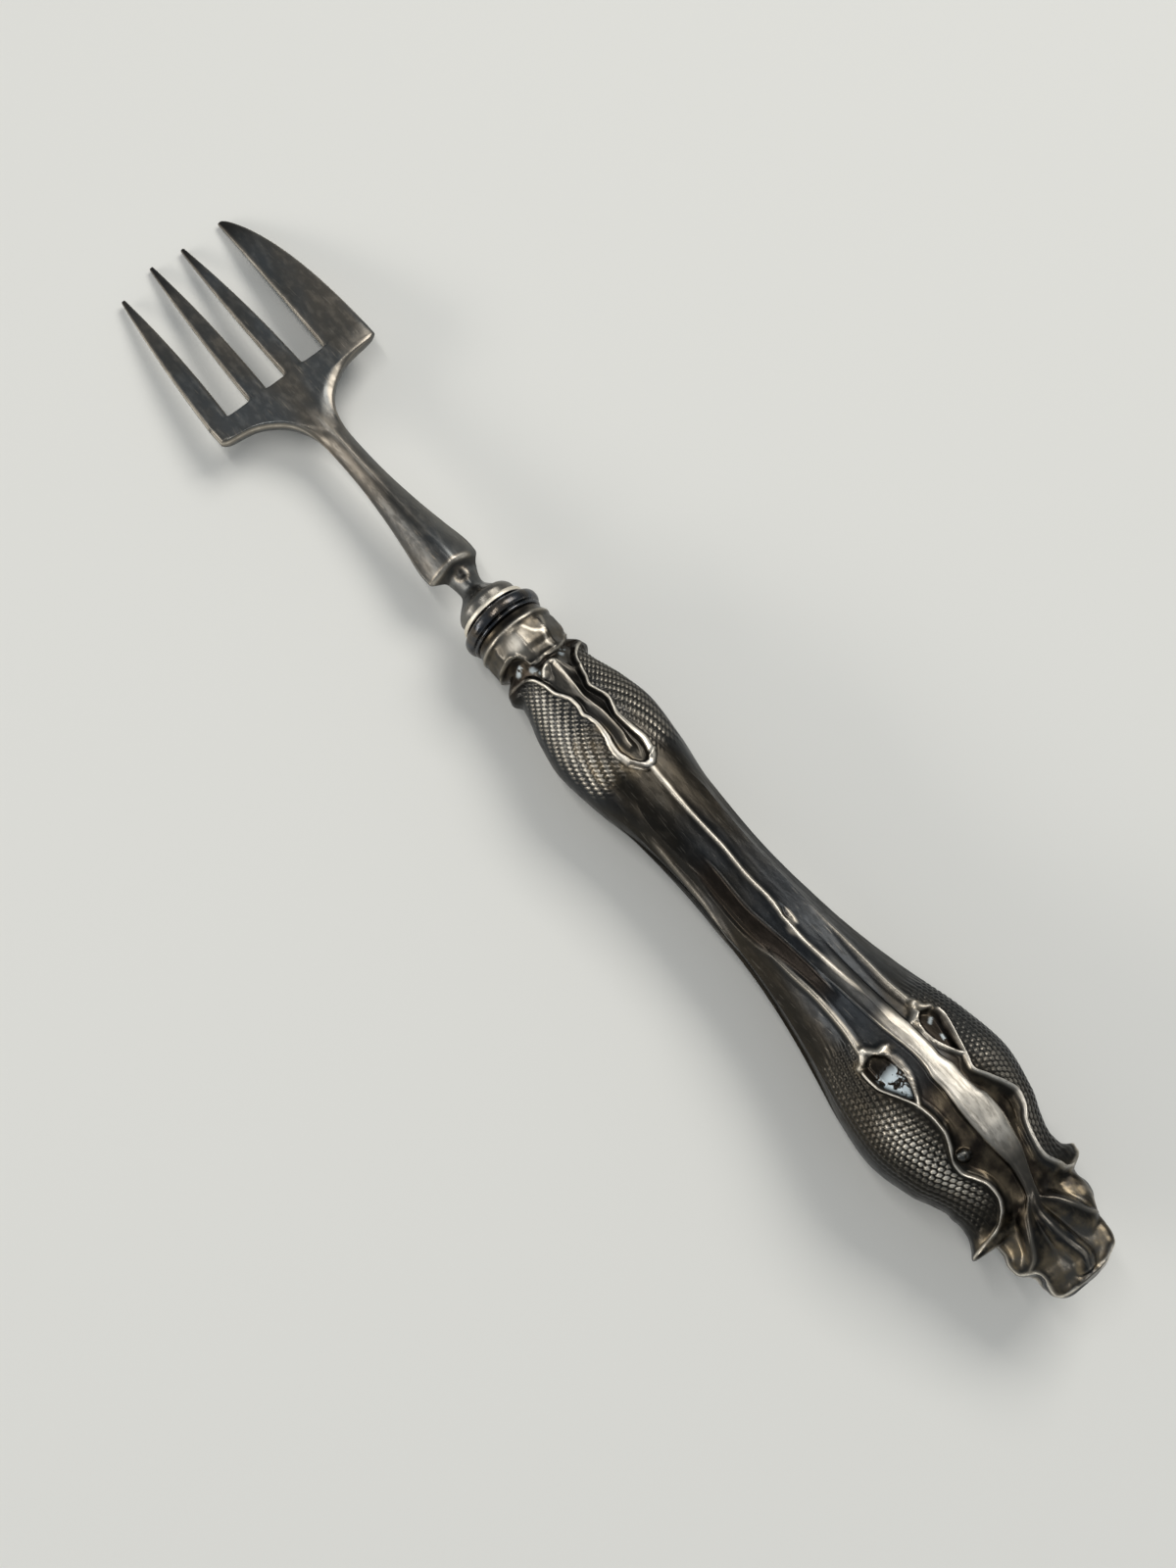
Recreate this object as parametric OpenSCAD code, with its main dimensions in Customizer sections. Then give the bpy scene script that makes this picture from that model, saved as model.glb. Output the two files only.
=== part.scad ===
// Hollow-handled four-tine fork, lying face down on its handle bulge and its tips.
// X runs from the handle's end to the tips, Y across, and Z up from the table.

/* [Handle] */
// Length of the handle from its end to its mouth
handle_l = 86.2; // [83:0.1:90]
// Thickness of the stamped sheet
sheet_t = 0.6; // [0.4:0.05:0.8]
// Distance from the end to the widest place of the lower bulge
bulge_at = 21.5; // [20:0.1:23]
// Width of the handle at the lower bulge
bulge_w = 17.6; // [15:0.1:20]
// Thickness of the handle at the lower bulge, without the rib
bulge_t = 14.4; // [12:0.1:17]
// Distance from the end to the narrowest place of the waist
waist_at = 51.4; // [47:0.1:55]
// Width of the waist
waist_w = 9.1; // [7.5:0.1:10.5]
// Thickness of the waist
waist_t = 8.6; // [7:0.1:10]
// Distance from the end to the widest place of the upper bulge
upper_at = 70.5; // [69:0.1:72]
// Width of the handle at the upper bulge
upper_w = 12.5; // [10.5:0.1:14.5]
// Thickness of the handle at the upper bulge
upper_t = 10.4; // [8.5:0.1:12]
// Distance from the end to the pinch behind the collar
pinch_at = 81.4; // [81:0.1:82]
// Diameter of the pinch behind the collar
pinch_d = 7.9; // [7:0.1:8.5]
// Diameter of the collar band
collar_d = 8.7; // [7.6:0.1:9.4]
// Diameter of the handle at its mouth
mouth_d = 8.1; // [7:0.1:9]

/* [Finial] */
// Length of the lobed finial at the handle's end
finial_l = 9; // [8:0.1:10]
// Width of the finial at its outer lobes
finial_w = 11.4; // [10:0.1:12.5]
// Width of the finial at the notch between its lobes
notch_w = 8.6; // [7.5:0.1:9.5]
// Thickness of the finial
finial_t = 8.2; // [7:0.1:9.5]
// Depth of the cups between the finial's ridges
cup_depth = 0.9; // [0.2:0.05:1.2]
// Width of the throat between the finial and the lower bulge
throat_w = 11.4; // [10:0.1:12.5]
// Thickness of the throat
throat_t = 10; // [8.5:0.1:11.5]

/* [Ornament] */
// Distance from the end to the tips of the petals on the lower bulge
petal_tip_at = 29.2; // [28:0.1:31]
// Distance from the end to the tip of the leaf on the upper bulge
leaf_tip_at = 64.1; // [63:0.1:66]
// Height of the central rib on the lower bulge
rib_h = 0.9; // [0.3:0.05:1.2]
// Width of the central rib
rib_w = 2.7; // [2:0.1:3.2]
// Height of the rims around the petals and the leaves
rim_h = 0.55; // [0.2:0.05:0.8]
// Width of the rims from foot to foot
rim_w = 1.1; // [0.7:0.05:1.4]
// Depth of the hollows inside the rims
hollow_depth = 0.3; // [0:0.05:0.4]
// Depth of the flutes along the waist
flute_depth = 0.22; // [0:0.02:0.3]
// Reach of the horns beside the finial
horn_reach = 2.2; // [1:0.1:3]
// Reach of the leaf horns behind the collar
leaf_horn_reach = 1.3; // [0.5:0.1:1.6]

/* [Ferrule] */
// Length of the turned ring moulding
ferrule_l = 2.8; // [2.4:0.1:3.4]
// Diameter of the wide bead
bead_d = 9.3; // [8.6:0.1:10]
// Diameter of the bright bead beside the button
bright_d = 7.7; // [7:0.1:8.4]
// Diameter of the groove between the beads
groove_d = 7.0; // [6.2:0.1:7]

/* [Neck] */
// Diameter of the button against the ferrule
button_d = 7.0; // [6.2:0.1:7.6]
// Length of the button
button_l = 1.7; // [1.4:0.1:2]
// Diameter of the narrow place behind the button
nip_d = 2.8; // [2.2:0.1:3.4]
// Width of the neck at its thick end
neck_w = 6.2; // [5:0.1:7]
// Thickness of the neck at its thick end
neck_t = 4.8; // [3.8:0.1:5.6]
// Width of the neck at its thin end
shank_w = 3; // [2.4:0.1:3.6]
// Thickness of the neck at its thin end
shank_t = 2.5; // [2:0.1:3]
// Diameter of the tang inside the handle
tang_d = 3; // [2.4:0.1:3.4]
// Length of the tang inside the handle
tang_l = 42; // [30:0.5:50]

/* [Head] */
// Length of the whole fork
overall_l = 148; // [142:0.1:152]
// Distance from the handle's end to the roots of the slots
root_at = 125.3; // [124:0.1:127]
// Length of the plate between its shoulders and the slots
plate_l = 2.5; // [2.2:0.1:3.6]
// Length of the curve from the neck to the shoulders
shoulder_l = 8; // [7:0.1:9]
// Width of the outer tine
outer_tine_w = 2.7; // [2:0.1:3]
// Width of each inner tine
inner_tine_w = 2.5; // [1.9:0.1:2.8]
// Width of the broad cutting tine
broad_tine_w = 5.4; // [4.5:0.1:6]
// Width of the slot beside the outer tine
outer_slot_w = 2.75; // [2:0.05:3.2]
// Width of the slot between the inner tines
middle_slot_w = 2.4; // [2:0.05:3]
// Width of the slot beside the broad tine
broad_slot_w = 2.9; // [2.2:0.05:3.4]
// Distance from the axis to the outer tine's outer edge
outer_reach = 9.9; // [9:0.1:10.6]
// Thickness of the plate at the slots
plate_t = 1.7; // [1.2:0.05:2]
// Thickness of the tines at their tips
tip_t = 0.8; // [0.5:0.05:1]
// Width of the tines at their tips
tip_w = 0.5; // [0.3:0.05:0.7]
// Drop of the tips below the handle's axis
arch_drop = 3.2; // [1:0.1:5]

/* [Fits] */
// Clearance between the filler and the sheet around it
filler_clearance = 0.15; // [0.1:0.01:0.25]
// Clearance around the tang
tang_clearance = 0.1; // [0.05:0.01:0.2]

/* [Hidden] */

// Interpolation

function mix(a, b, share) = a + (b - a) * share;
function steps(a, b, n) = [for (i = [0 : n - 1]) mix(a, b, i / n)];
function clamp(x) = min(max(x, 0), 1);
function smooth(x, from, to) = let (u = clamp((x - from) / (to - from))) u * u * (3 - 2 * u);
function window(x, from, to, soft) = smooth(x, from - soft, from) * (1 - smooth(x, to, to + soft));
function bump(u) = abs(u) < 1 ? pow(1 - u * u, 2) : 0;
function dome(u) = abs(u) < 1 ? sqrt(1 - u * u) : 0;
function arch(u) = u > 0 && u < 1 ? 4 * u * (1 - u) : 0;

// Smooth curve through knots of place and value, flat at each peak and without overshoot
function rise(t, i) = (t[i + 1][1] - t[i][1]) / (t[i + 1][0] - t[i][0]);
function slope(t, i) = i == 0 || i == len(t) - 1 ? 0
    : rise(t, i - 1) * rise(t, i) <= 0 ? 0
    : 2 * rise(t, i - 1) * rise(t, i) / (rise(t, i - 1) + rise(t, i));
function span_of(x, t, i = 0) = i >= len(t) - 2 || x < t[i + 1][0] ? i : span_of(x, t, i + 1);
function hermite(u, a, b, sa, sb) =
    a * (1 + 2 * u) * pow(1 - u, 2) + b * u * u * (3 - 2 * u)
    + sa * u * pow(1 - u, 2) - sb * u * u * (1 - u);
function flow(x, t) = x <= t[0][0] ? t[0][1]
    : x >= t[len(t) - 1][0] ? t[len(t) - 1][1]
    : let (i = span_of(x, t), l = t[i + 1][0] - t[i][0])
        hermite((x - t[i][0]) / l, t[i][1], t[i + 1][1], slope(t, i) * l, slope(t, i + 1) * l);

// Handle body: half width and half thickness along its length.
// Each pair of shares is a place on the way between two named places, and the part of the change there.

end_shares = [[0.05, 0.5], [0.13, 0.8], [0.24, 0.93]];
rump_shares = [[0.3, 0.35], [0.52, 0.68]];
flank_shares = [[0.17, 0.15], [0.30, 0.36], [0.43, 0.57], [0.56, 0.74], [0.70, 0.87]];
swell_shares = [[0.45, 0.22], [0.75, 0.74]];
fall_shares = [[0.36, 0.28], [0.68, 0.74]];
notch_at_share = 0.45;
lobe_at_share = 0.7;
lobe_base_share = 0.84;
lobe_l_share = 0.24;
throat_at_share = 1.25;
band_shares = [0.25, 0.6];

throat_at = finial_l * throat_at_share;
lobe_at = finial_l * lobe_at_share;
lobe_l = finial_l * lobe_l_share;
end_at = finial_l * end_shares[0][0];
band_from = mix(pinch_at, handle_l, band_shares[0]);
band_to = mix(pinch_at, handle_l, band_shares[1]);

function between(a, b, va, vb, shares) = [for (k = shares) [mix(a, b, k[0]), mix(va, vb, k[1])]];
function body_knots(notch, lobe, throat, bulge, waist, upper) = concat(
    [for (k = end_shares) [finial_l * k[0], notch / 2 * k[1]]],
    [[finial_l * notch_at_share, notch / 2]],
    [[lobe_at, lobe / 2]],
    [[throat_at, throat / 2]],
    between(throat_at, bulge_at, throat / 2, bulge / 2, rump_shares),
    [[bulge_at, bulge / 2]],
    between(bulge_at, waist_at, bulge / 2, waist / 2, flank_shares),
    [[waist_at, waist / 2]],
    between(waist_at, upper_at, waist / 2, upper / 2, swell_shares),
    [[upper_at, upper / 2]],
    between(upper_at, pinch_at, upper / 2, pinch_d / 2, fall_shares),
    [[pinch_at, pinch_d / 2]],
    [[band_from, collar_d / 2]],
    [[band_to, collar_d / 2]],
    [[handle_l, mouth_d / 2]]);

w_knots = body_knots(notch_w, finial_w * lobe_base_share, throat_w, bulge_w, waist_w, upper_w);
t_knots = body_knots(finial_t * lobe_base_share, finial_t, throat_t, bulge_t, waist_t, upper_t);
function half_w(s) = flow(s, w_knots);
function half_t(s) = flow(s, t_knots);
function degrees(l, s) = l / (half_w(s) + half_t(s)) * 2 * 180 / PI;

// Ornament lines, in degrees from the middle of the back, at shares of the stretch that each line covers

petal_line_shares = [[0, 80], [0.02, 55], [0.06, 34], [0.14, 28], [0.27, 31.5], [0.38, 29],
    [0.51, 19.5], [0.6, 17.5], [0.76, 26], [0.9, 33], [1, 26]];
stalk_line_shares = [[0.22, 29], [0.5, 41], [0.85, 45]];
leaf_line_shares = [[0, 6], [0.06, 12], [0.15, 15], [0.3, 9], [0.49, 13], [0.64, 12], [0.73, 20],
    [0.86, 30], [0.94, 50], [1, 80]];
leaf_horn_share = 0.93;
leaf_horn_at = mix(leaf_tip_at, pinch_at, leaf_horn_share);
function laid(a, b, shares) = [for (k = shares) [mix(a, b, k[0]), k[1]]];
crest_ends = [74, 60, 45];
crest_knots = concat([[0, crest_ends[0]]], laid(finial_l, petal_tip_at, petal_line_shares),
    laid(petal_tip_at, leaf_tip_at, stalk_line_shares), laid(leaf_tip_at, leaf_horn_at, leaf_line_shares),
    [[pinch_at, crest_ends[1]], [handle_l, crest_ends[2]]]);
function crest(s) = flow(s, crest_knots);

ridge_line_shares = [[0, 60], [0.22, 57], [0.43, 50], [0.75, 30], [1, 17], [1.25, 10]];
ridge_knots = laid(0, finial_l, ridge_line_shares);
function ridge(s) = s < throat_at ? flow(s, ridge_knots) : degrees(rib_w / 2, s);

eye_shares = [0.7, 0.97];
eye_from = mix(finial_l, petal_tip_at, eye_shares[0]);
eye_to = mix(finial_l, petal_tip_at, eye_shares[1]);
middle_share = 0.5;
eye_side_share = 0.25;
function eye_side(s) = mix(middle_share, eye_side_share, window(s, eye_from, eye_to, rim_w));

// Relief over the plain body: r, n, c and e are the inner ridge, the middle line, the rim and its foot

horn_angles = [50, 85];
rib_from_share = 1.3;
rib_fade_share = 0.25;
rib_from = finial_l * rib_from_share;
rib_fade = (petal_tip_at - finial_l) * rib_fade_share;
rib_side_share = 0.95;
rim_side_share = 0.6;
stalk_h_share = 0.4;
eye_rim_share = 0.8;
horn_at_share = 1.06;
horn_l_share = 0.2;
leaf_horn_l_share = 0.1;
horn_at = finial_l * horn_at_share;
horn_l = finial_l * horn_l_share;
leaf_horn_l = (pinch_at - leaf_tip_at) * leaf_horn_l_share;
stem_h_share = 0.35;

function rim_on(s) = window(s, finial_l, petal_tip_at, rim_w) + window(s, leaf_tip_at, leaf_horn_at, rim_w);
stalk_share = 0.5;
stalk_l = (waist_at - petal_tip_at) * stalk_share;
function stalk_on(s) = window(s, petal_tip_at, petal_tip_at + stalk_l, stalk_l);
flute_share = 0.4;
flute_end_shares = [0.1, 0.6];
flute_from = mix(petal_tip_at, waist_at, flute_share);
flute_to = mix(waist_at, leaf_tip_at, flute_end_shares[0]);
flute_off = mix(waist_at, leaf_tip_at, flute_end_shares[1]);
function flute_on(s) = smooth(s, petal_tip_at, flute_from) * (1 - smooth(s, flute_to, flute_off));
function eye_on(s) = window(s, eye_from, eye_to, rim_w);
function rib_on(s) = window(s, rib_from, eye_from, rib_fade);
function stem_on(s) = window(s, leaf_tip_at + rim_w, leaf_horn_at, rim_w);
function hollow_on(s) = window(s, throat_at, petal_tip_at, rim_w) + stem_on(s);
function lobe(s) = finial_w / 2 * (1 - lobe_base_share) * bump((s - lobe_at) / lobe_l);
function horns(s) = horn_reach * bump((s - horn_at) / horn_l)
    + leaf_horn_reach * bump((s - leaf_horn_at) / leaf_horn_l);
function cups(s, a, r) = cup_depth * window(s, end_at, finial_l, throat_at - finial_l)
    * (a < r ? arch(a / r) : arch((a - r) / (90 - r)));

function relief(s, a, r, n, c, e) =
    rib_h * (rib_on(s) + stem_h_share * stem_on(s)) * dome(a / r * rib_side_share)
    + rim_h * (rim_on(s) + stalk_h_share * stalk_on(s)) * bump((a - c) / e * rim_side_share)
    + rim_h * eye_rim_share * eye_on(s) * bump((a - n) / e)
    - hollow_depth * hollow_on(s) * arch((a - r) / (c - r))
    - flute_depth * flute_on(s) * abs(sin(4 * a))
    - cups(s, a, r)
    + (horns(s) + lobe(s)) * smooth(a, horn_angles[0], horn_angles[1]);

// Rings of points around the upper half of the handle, from one seam to the other

field_columns = 5;
foot_share = 0.32;
function half_columns(r, n, c, e) = [0, r / 2, r, (r + n) / 2, n, (n + c - e) / 2, c - e, c, c + e,
    for (k = [1 : field_columns]) mix(c + e, 90, k / field_columns)];
function both_sides(l) = [for (i = [len(l) - 1 : -1 : 1]) -l[i], for (a = l) a];
function ring(s, inset) =
    let (c = crest(s))
    let (e = min(degrees(rim_w / 2, s), c * foot_share, (90 - c) * foot_share))
    let (r = min(ridge(s), s < throat_at ? c - 3 * e : c * foot_share))
    let (n = mix(r, c - e, eye_side(s)))
    [for (a = both_sides(half_columns(r, n, c, e)))
        let (f = relief(s, abs(a), r, n, c, e), h = inset > 0 ? min(f, 0) - inset : f)
        [s, (half_w(s) + h) * sin(a), abs(a) == 90 ? 0 : (half_t(s) + h) * cos(a)]];

station_counts = [14, 28, 14, 24, 6];
station_ends = [end_at, finial_l, petal_tip_at, leaf_tip_at, pinch_at, handle_l];
stations = concat([for (k = [0 : 4]) each steps(station_ends[k], station_ends[k + 1], station_counts[k])],
    [handle_l]);
inner_end = end_at + sheet_t;
inner_stations = [for (i = [0 : 2 : len(stations) - 1]) i == 0 ? inner_end : stations[i]];

// A half shell: a fine outer skin, an inner skin with every second line of it, and flat rims between them

rows = len(stations) - 1;
cols = 2 * (8 + field_columns);
inner_rows = rows / 2;
inner_cols = cols / 2;
function thinned(l) = [for (i = [0 : 2 : len(l) - 1]) l[i]];
function patch(first, rows, cols, flip) = [for (i = [0 : rows - 1], j = [0 : cols - 1], half = [0, 1])
    let (a = first + i * (cols + 1) + j, b = a + cols + 1)
    let (f = half == 0 ? [a, a + 1, b + 1] : [a, b + 1, b])
    flip ? [f[0], f[2], f[1]] : f];
function fan(centre, line, flip) = [for (i = [0 : len(line) - 2])
    flip ? [centre, line[i + 1], line[i]] : [centre, line[i], line[i + 1]]];
function stitched(fine, coarse, flip) = [for (k = [0 : len(coarse) - 2], part = [0 : 2])
    let (f = part == 0 ? [fine[2 * k], fine[2 * k + 1], coarse[k]]
        : part == 1 ? [fine[2 * k + 1], coarse[k + 1], coarse[k]]
        : [fine[2 * k + 1], fine[2 * k + 2], coarse[k + 1]])
    flip ? [f[0], f[2], f[1]] : f];

outer_tip = (rows + 1) * (cols + 1);
inner_first = outer_tip + 1;
inner_tip = inner_first + (inner_rows + 1) * (inner_cols + 1);
function outer(i, j) = i * (cols + 1) + j;
function inner(i, j) = inner_first + i * (inner_cols + 1) + j;
function outer_line(i) = [for (j = [0 : cols]) outer(i, j)];
function inner_line(i) = [for (j = [0 : inner_cols]) inner(i, j)];
function outer_side(j) = [for (i = [0 : rows]) outer(i, j)];
function inner_side(j) = [for (i = [0 : inner_rows]) inner(i, j)];

module half_shell() {
    points = concat([for (s = stations) each ring(s, 0)], [[0, 0, 0]],
        [for (s = inner_stations) each thinned(ring(s, sheet_t))], [[inner_end, 0, 0]]);
    faces = concat(
        patch(0, rows, cols, false),
        fan(outer_tip, outer_line(0), true),
        patch(inner_first, inner_rows, inner_cols, true),
        fan(inner_tip, inner_line(0), false),
        stitched(outer_side(0), inner_side(0), false),
        stitched(outer_side(cols), inner_side(inner_cols), true),
        stitched(outer_line(rows), inner_line(inner_rows), false),
        [[outer_tip, outer(0, 0), inner(0, 0)], [outer_tip, inner(0, 0), inner_tip]],
        [[outer_tip, inner(0, inner_cols), outer(0, cols)], [outer_tip, inner_tip, inner(0, inner_cols)]]);
    polyhedron(points, faces);
}

// Lay on the table: turned down until the handle's bulge and the tips both touch

bulge_drop = bulge_t / 2 + rib_h;
tip_drop = arch_drop + tip_t / 2;
lay = atan((bulge_drop - tip_drop) / (overall_l - bulge_at));
lift = bulge_at * sin(lay) + bulge_drop * cos(lay);
broad_reach = outer_tine_w + outer_slot_w + inner_tine_w + middle_slot_w + inner_tine_w + broad_slot_w
    + broad_tine_w - outer_reach;
middle_x = (overall_l * cos(lay) - (arch_drop - tip_t / 2) * sin(lay)) / 2;
middle_y = (outer_reach - broad_reach) / 2;
module laid_down() {
    translate([-middle_x, -middle_y, lift]) rotate([0, lay, 0]) children();
}

module handle_back_shell() {
    color("dimgray") laid_down() half_shell();
}

module handle_front_shell() {
    color("slategray") laid_down() mirror([0, 0, 1]) half_shell();
}

// Filler: a solid core inside the shells, with a socket for the tang

tang_from = handle_l + ferrule_l - tang_l;
socket_from = tang_from - sheet_t;
socket_r = tang_d / 2 + tang_clearance;
filler_end = handle_l - filler_clearance;
filler_inset = sheet_t + filler_clearance;
filler_stations = [for (i = [1 : len(inner_stations) - 2]) inner_stations[i], filler_end];
around = 2 * inner_cols;
function full_ring(l) = concat(l, [for (i = [len(l) - 2 : -1 : 1]) [l[i][0], l[i][1], -l[i][2]]]);
function socket_ring(s) = [for (k = [0 : around - 1])
    let (a = -90 + 360 * k / around) [s, socket_r * sin(a), socket_r * cos(a)]];
function tube_faces(rings, n, flip) = [for (i = [0 : rings - 2], k = [0 : n - 1], half = [0, 1])
    let (a = i * n + k, b = i * n + (k + 1) % n)
    let (f = half == 0 ? [a, b, b + n] : [a, b + n, a + n])
    flip ? [f[0], f[2], f[1]] : f];
function cap_faces(centre, first, n, flip) = [for (k = [0 : n - 1])
    let (a = first + k, b = first + (k + 1) % n) flip ? [centre, b, a] : [centre, a, b]];

module handle_filler() {
    rings = concat([for (s = filler_stations) full_ring(thinned(ring(s, filler_inset)))],
        [socket_ring(filler_end), socket_ring(socket_from)]);
    points = concat([for (r = rings) each r], [[filler_stations[0], 0, 0], [socket_from, 0, 0]]);
    last = len(rings) - 1;
    color("saddlebrown") laid_down() polyhedron(points, concat(
        tube_faces(len(rings), around, false),
        cap_faces(len(rings) * around, 0, around, true),
        cap_faces(len(rings) * around + 1, last * around, around, false)));
}

// Ferrule: a turned ring with a lip, a wide bead, a groove and a bright bead

lip_share = 0.12;
wide_shares = [0.16, 0.58];
bright_shares = [0.72, 1];
bead_steps = 8;
function bead(from, to, foot, top) = [for (k = [0 : bead_steps])
    let (a = 180 * k / bead_steps) [mix(foot, top, sin(a)), mix(from, to, (1 - cos(a)) / 2)]];

module ferrule_ring() {
    bore = tang_d / 2 + tang_clearance;
    profile = concat([[bore, 0], [mouth_d / 2, 0], [mouth_d / 2, ferrule_l * lip_share]],
        bead(ferrule_l * wide_shares[0], ferrule_l * wide_shares[1], groove_d / 2, bead_d / 2),
        bead(ferrule_l * bright_shares[0], ferrule_l * bright_shares[1], groove_d / 2, bright_d / 2),
        [[bore, ferrule_l]]);
    color("silver") laid_down() translate([handle_l, 0, 0]) rotate([0, 90, 0])
        rotate_extrude($fn = 64) polygon(profile);
}

// Fork blank: tang, button, neck, shoulders, plate and tines in one skin.
// Tines are edges across the plate at the slots, from the broad tine to the outer tine.

broad_in = broad_reach - broad_tine_w;
second_in = broad_in - broad_slot_w;
tine_edges = [
    [-broad_reach, -broad_in],
    [-second_in, -second_in + inner_tine_w],
    [outer_reach - outer_tine_w - outer_slot_w - inner_tine_w, outer_reach - outer_tine_w - outer_slot_w],
    [outer_reach - outer_tine_w, outer_reach]];
// Places of the tips across, as shares of the reach on their side, and how far short of the end they stop
tip_shares = [-0.66, -0.187, 0.2, 0.707];
short_shares = [0.014, 0.018, 0, 0.073];
tine_l = overall_l - root_at;
tine_steps = 9;
bevel_share = 0.16;
edge_share = 0.45;
side_share = 0.08;
across = [for (t = tine_edges) let (b = bevel_share * inner_tine_w)
    each [t[0], t[0] + b, (t[0] + t[1]) / 2, t[1] - b, t[1]]];
row = len(across);

button_from = handle_l + ferrule_l;
shoulder_at = root_at - plate_l;
shank_to = shoulder_at - shoulder_l;
neck_l = shank_to - button_from;
// Neck knots: share of its length, then share of the way from the thin end's size to the thick end's
neck_shares = [[0.255, 1], [0.30, 1.03], [0.43, 0.72], [0.62, 0.3], [0.85, 0.02]];
button_round_share = 0.75;
nip_share = 0.13;
flare_share = 0.215;
flare_w_share = 0.5;
flare_t_share = 0.2;
neck_station_shares = [0.1, 0.13, 0.16, 0.19, 0.215, 0.235, 0.248, 0.26, 0.28, 0.32, 0.38, 0.45,
    0.53, 0.62, 0.72, 0.82, 0.92];
shoulder_shares = [[0, 0], [0.25, 0.02], [0.45, 0.07], [0.63, 0.16], [0.76, 0.28], [0.87, 0.43],
    [0.94, 0.58], [0.98, 0.78], [1, 0.95]];
function along_neck(share) = button_from + neck_l * share;
function neck_knots(thin, thick, flare) = concat(
    [[button_from, button_d / 2], [button_from + button_l / 2, button_d / 2]],
    [[button_from + button_l, mix(nip_d, button_d, button_round_share) / 2]],
    [[along_neck(nip_share), nip_d / 2]],
    [[along_neck(flare_share), mix(nip_d, thick, flare) / 2]],
    [for (k = neck_shares) [along_neck(k[0]), mix(thin, thick, k[1]) / 2]],
    [[shank_to, thin / 2]]);
function shoulder_knots(reach) = [for (k = shoulder_shares)
    [mix(shank_to, shoulder_at, k[0]), mix(shank_w / 2, reach, k[1])]];
width_knots = neck_knots(shank_w, neck_w, flare_w_share);
thick_knots = concat(neck_knots(shank_t, neck_t, flare_t_share),
    [[shoulder_at, plate_t / 2], [overall_l, tip_t / 2]]);
corner_share = 0.2;
corner_at = shoulder_at + plate_l * corner_share;
function side(x, reach) = x <= shank_to ? flow(x, width_knots)
    : flow(x, concat(shoulder_knots(reach), [[corner_at, reach]]));
function drop(x) = x < shank_to ? 0 : arch_drop * pow((x - shank_to) / (overall_l - shank_to), 2);
function plateness(x) = smooth(x, shank_to, shoulder_at);
// Power of the section: 2 is round, less gives a ridge along the top and the sides, more a flat plate
ridged = 1.6;
flat = 8;
function squareness(x) = x < button_from + button_l ? 2 : mix(ridged, flat, plateness(x));

function blank_row(x, radius) = [for (i = [0 : row - 1])
    let (a = -90 + 180 * (i + 0.5) / row, k = plateness(x), y = across[i])
    let (u = mix(sin(a) / cos(90 / row), y / (y < 0 ? broad_reach : outer_reach), k))
    let (w = radius > 0 ? radius : side(x, u < 0 ? broad_reach : outer_reach))
    let (h = radius > 0 ? radius : flow(x, thick_knots), p = radius > 0 ? 2 : squareness(x))
    let (z = h * max(mix(side_share, edge_share, k), pow(max(1 - pow(abs(u), p), 0), 1 / p)))
    [x, u * w, z]];
function closed_row(l, x) = concat([for (p = l) p + [0, 0, -drop(x)]],
    [for (i = [len(l) - 1 : -1 : 0]) [l[i][0], l[i][1], -l[i][2] - drop(x)]]);
function blank_ring(x, radius = 0) = closed_row(blank_row(x, radius), x);

button_station_shares = [0, 0.5, 0.8, 1];
blank_stations = concat([for (k = button_station_shares) button_from + button_l * k],
    [for (k = neck_station_shares) along_neck(k)],
    [for (k = shoulder_shares) mix(shank_to, shoulder_at, k[0])],
    [corner_at, root_at]);
blank_rings = concat([blank_ring(tang_from, tang_d / 2), blank_ring(button_from, tang_d / 2)],
    [for (x = blank_stations) blank_ring(x)]);
root = len(blank_rings) - 1;

// Powers of the broad tine's outer bow and of the taper of the others
bow = [2.6, 0.67];
taper = 1.75;
function tine_edge(k, f, e) = k == 0 && e == 0
    ? mix(broad_reach * tip_shares[0] - tip_w / 2, -broad_reach, pow(1 - pow(f, bow[0]), bow[1]))
    : let (t = tine_edges[k], tip = tip_shares[k] * (k < 2 ? broad_reach : outer_reach))
        let (half = mix((t[1] - t[0]) / 2, tip_w / 2, pow(f, taper)))
        k == 0 ? mix(t[1], tip + tip_w / 2, f)
        : mix((t[0] + t[1]) / 2, tip, f) + (e == 0 ? -half : half);
function tine_ring(k, f) =
    let (x = root_at + tine_l * (1 - short_shares[k]) * f)
    let (a = tine_edge(k, f, 0), b = tine_edge(k, f, 1), h = flow(x, thick_knots))
    let (v = bevel_share * min(b - a, inner_tine_w))
    let (e = h * edge_share)
    closed_row([[x, a, e], [x, a + v, h], [x, (a + b) / 2, h], [x, b - v, h], [x, b, e]], x);
tine_rings = [for (k = [0 : len(tine_edges) - 1], i = [1 : tine_steps]) tine_ring(k, i / tine_steps)];

blank_count = len(blank_rings) * 2 * row;
function root_index(k, i) = root * 2 * row + (i < 5 ? 5 * k + i : 2 * row - 1 - (5 * k + 9 - i));
function tine_index(k, step, i) = step == 0 ? root_index(k, i % 10)
    : blank_count + (k * tine_steps + step - 1) * 10 + i % 10;
tine_faces = [for (k = [0 : len(tine_edges) - 1], step = [0 : tine_steps - 1], i = [0 : 9], half = [0, 1])
    let (a = tine_index(k, step, i), b = tine_index(k, step, i + 1))
    let (c = tine_index(k, step + 1, i + 1), d = tine_index(k, step + 1, i))
    half == 0 ? [a, b, c] : [a, c, d]];
tine_caps = [for (k = [0 : len(tine_edges) - 1], i = [1 : 8])
    [tine_index(k, tine_steps, 0), tine_index(k, tine_steps, i), tine_index(k, tine_steps, i + 1)]];
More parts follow.
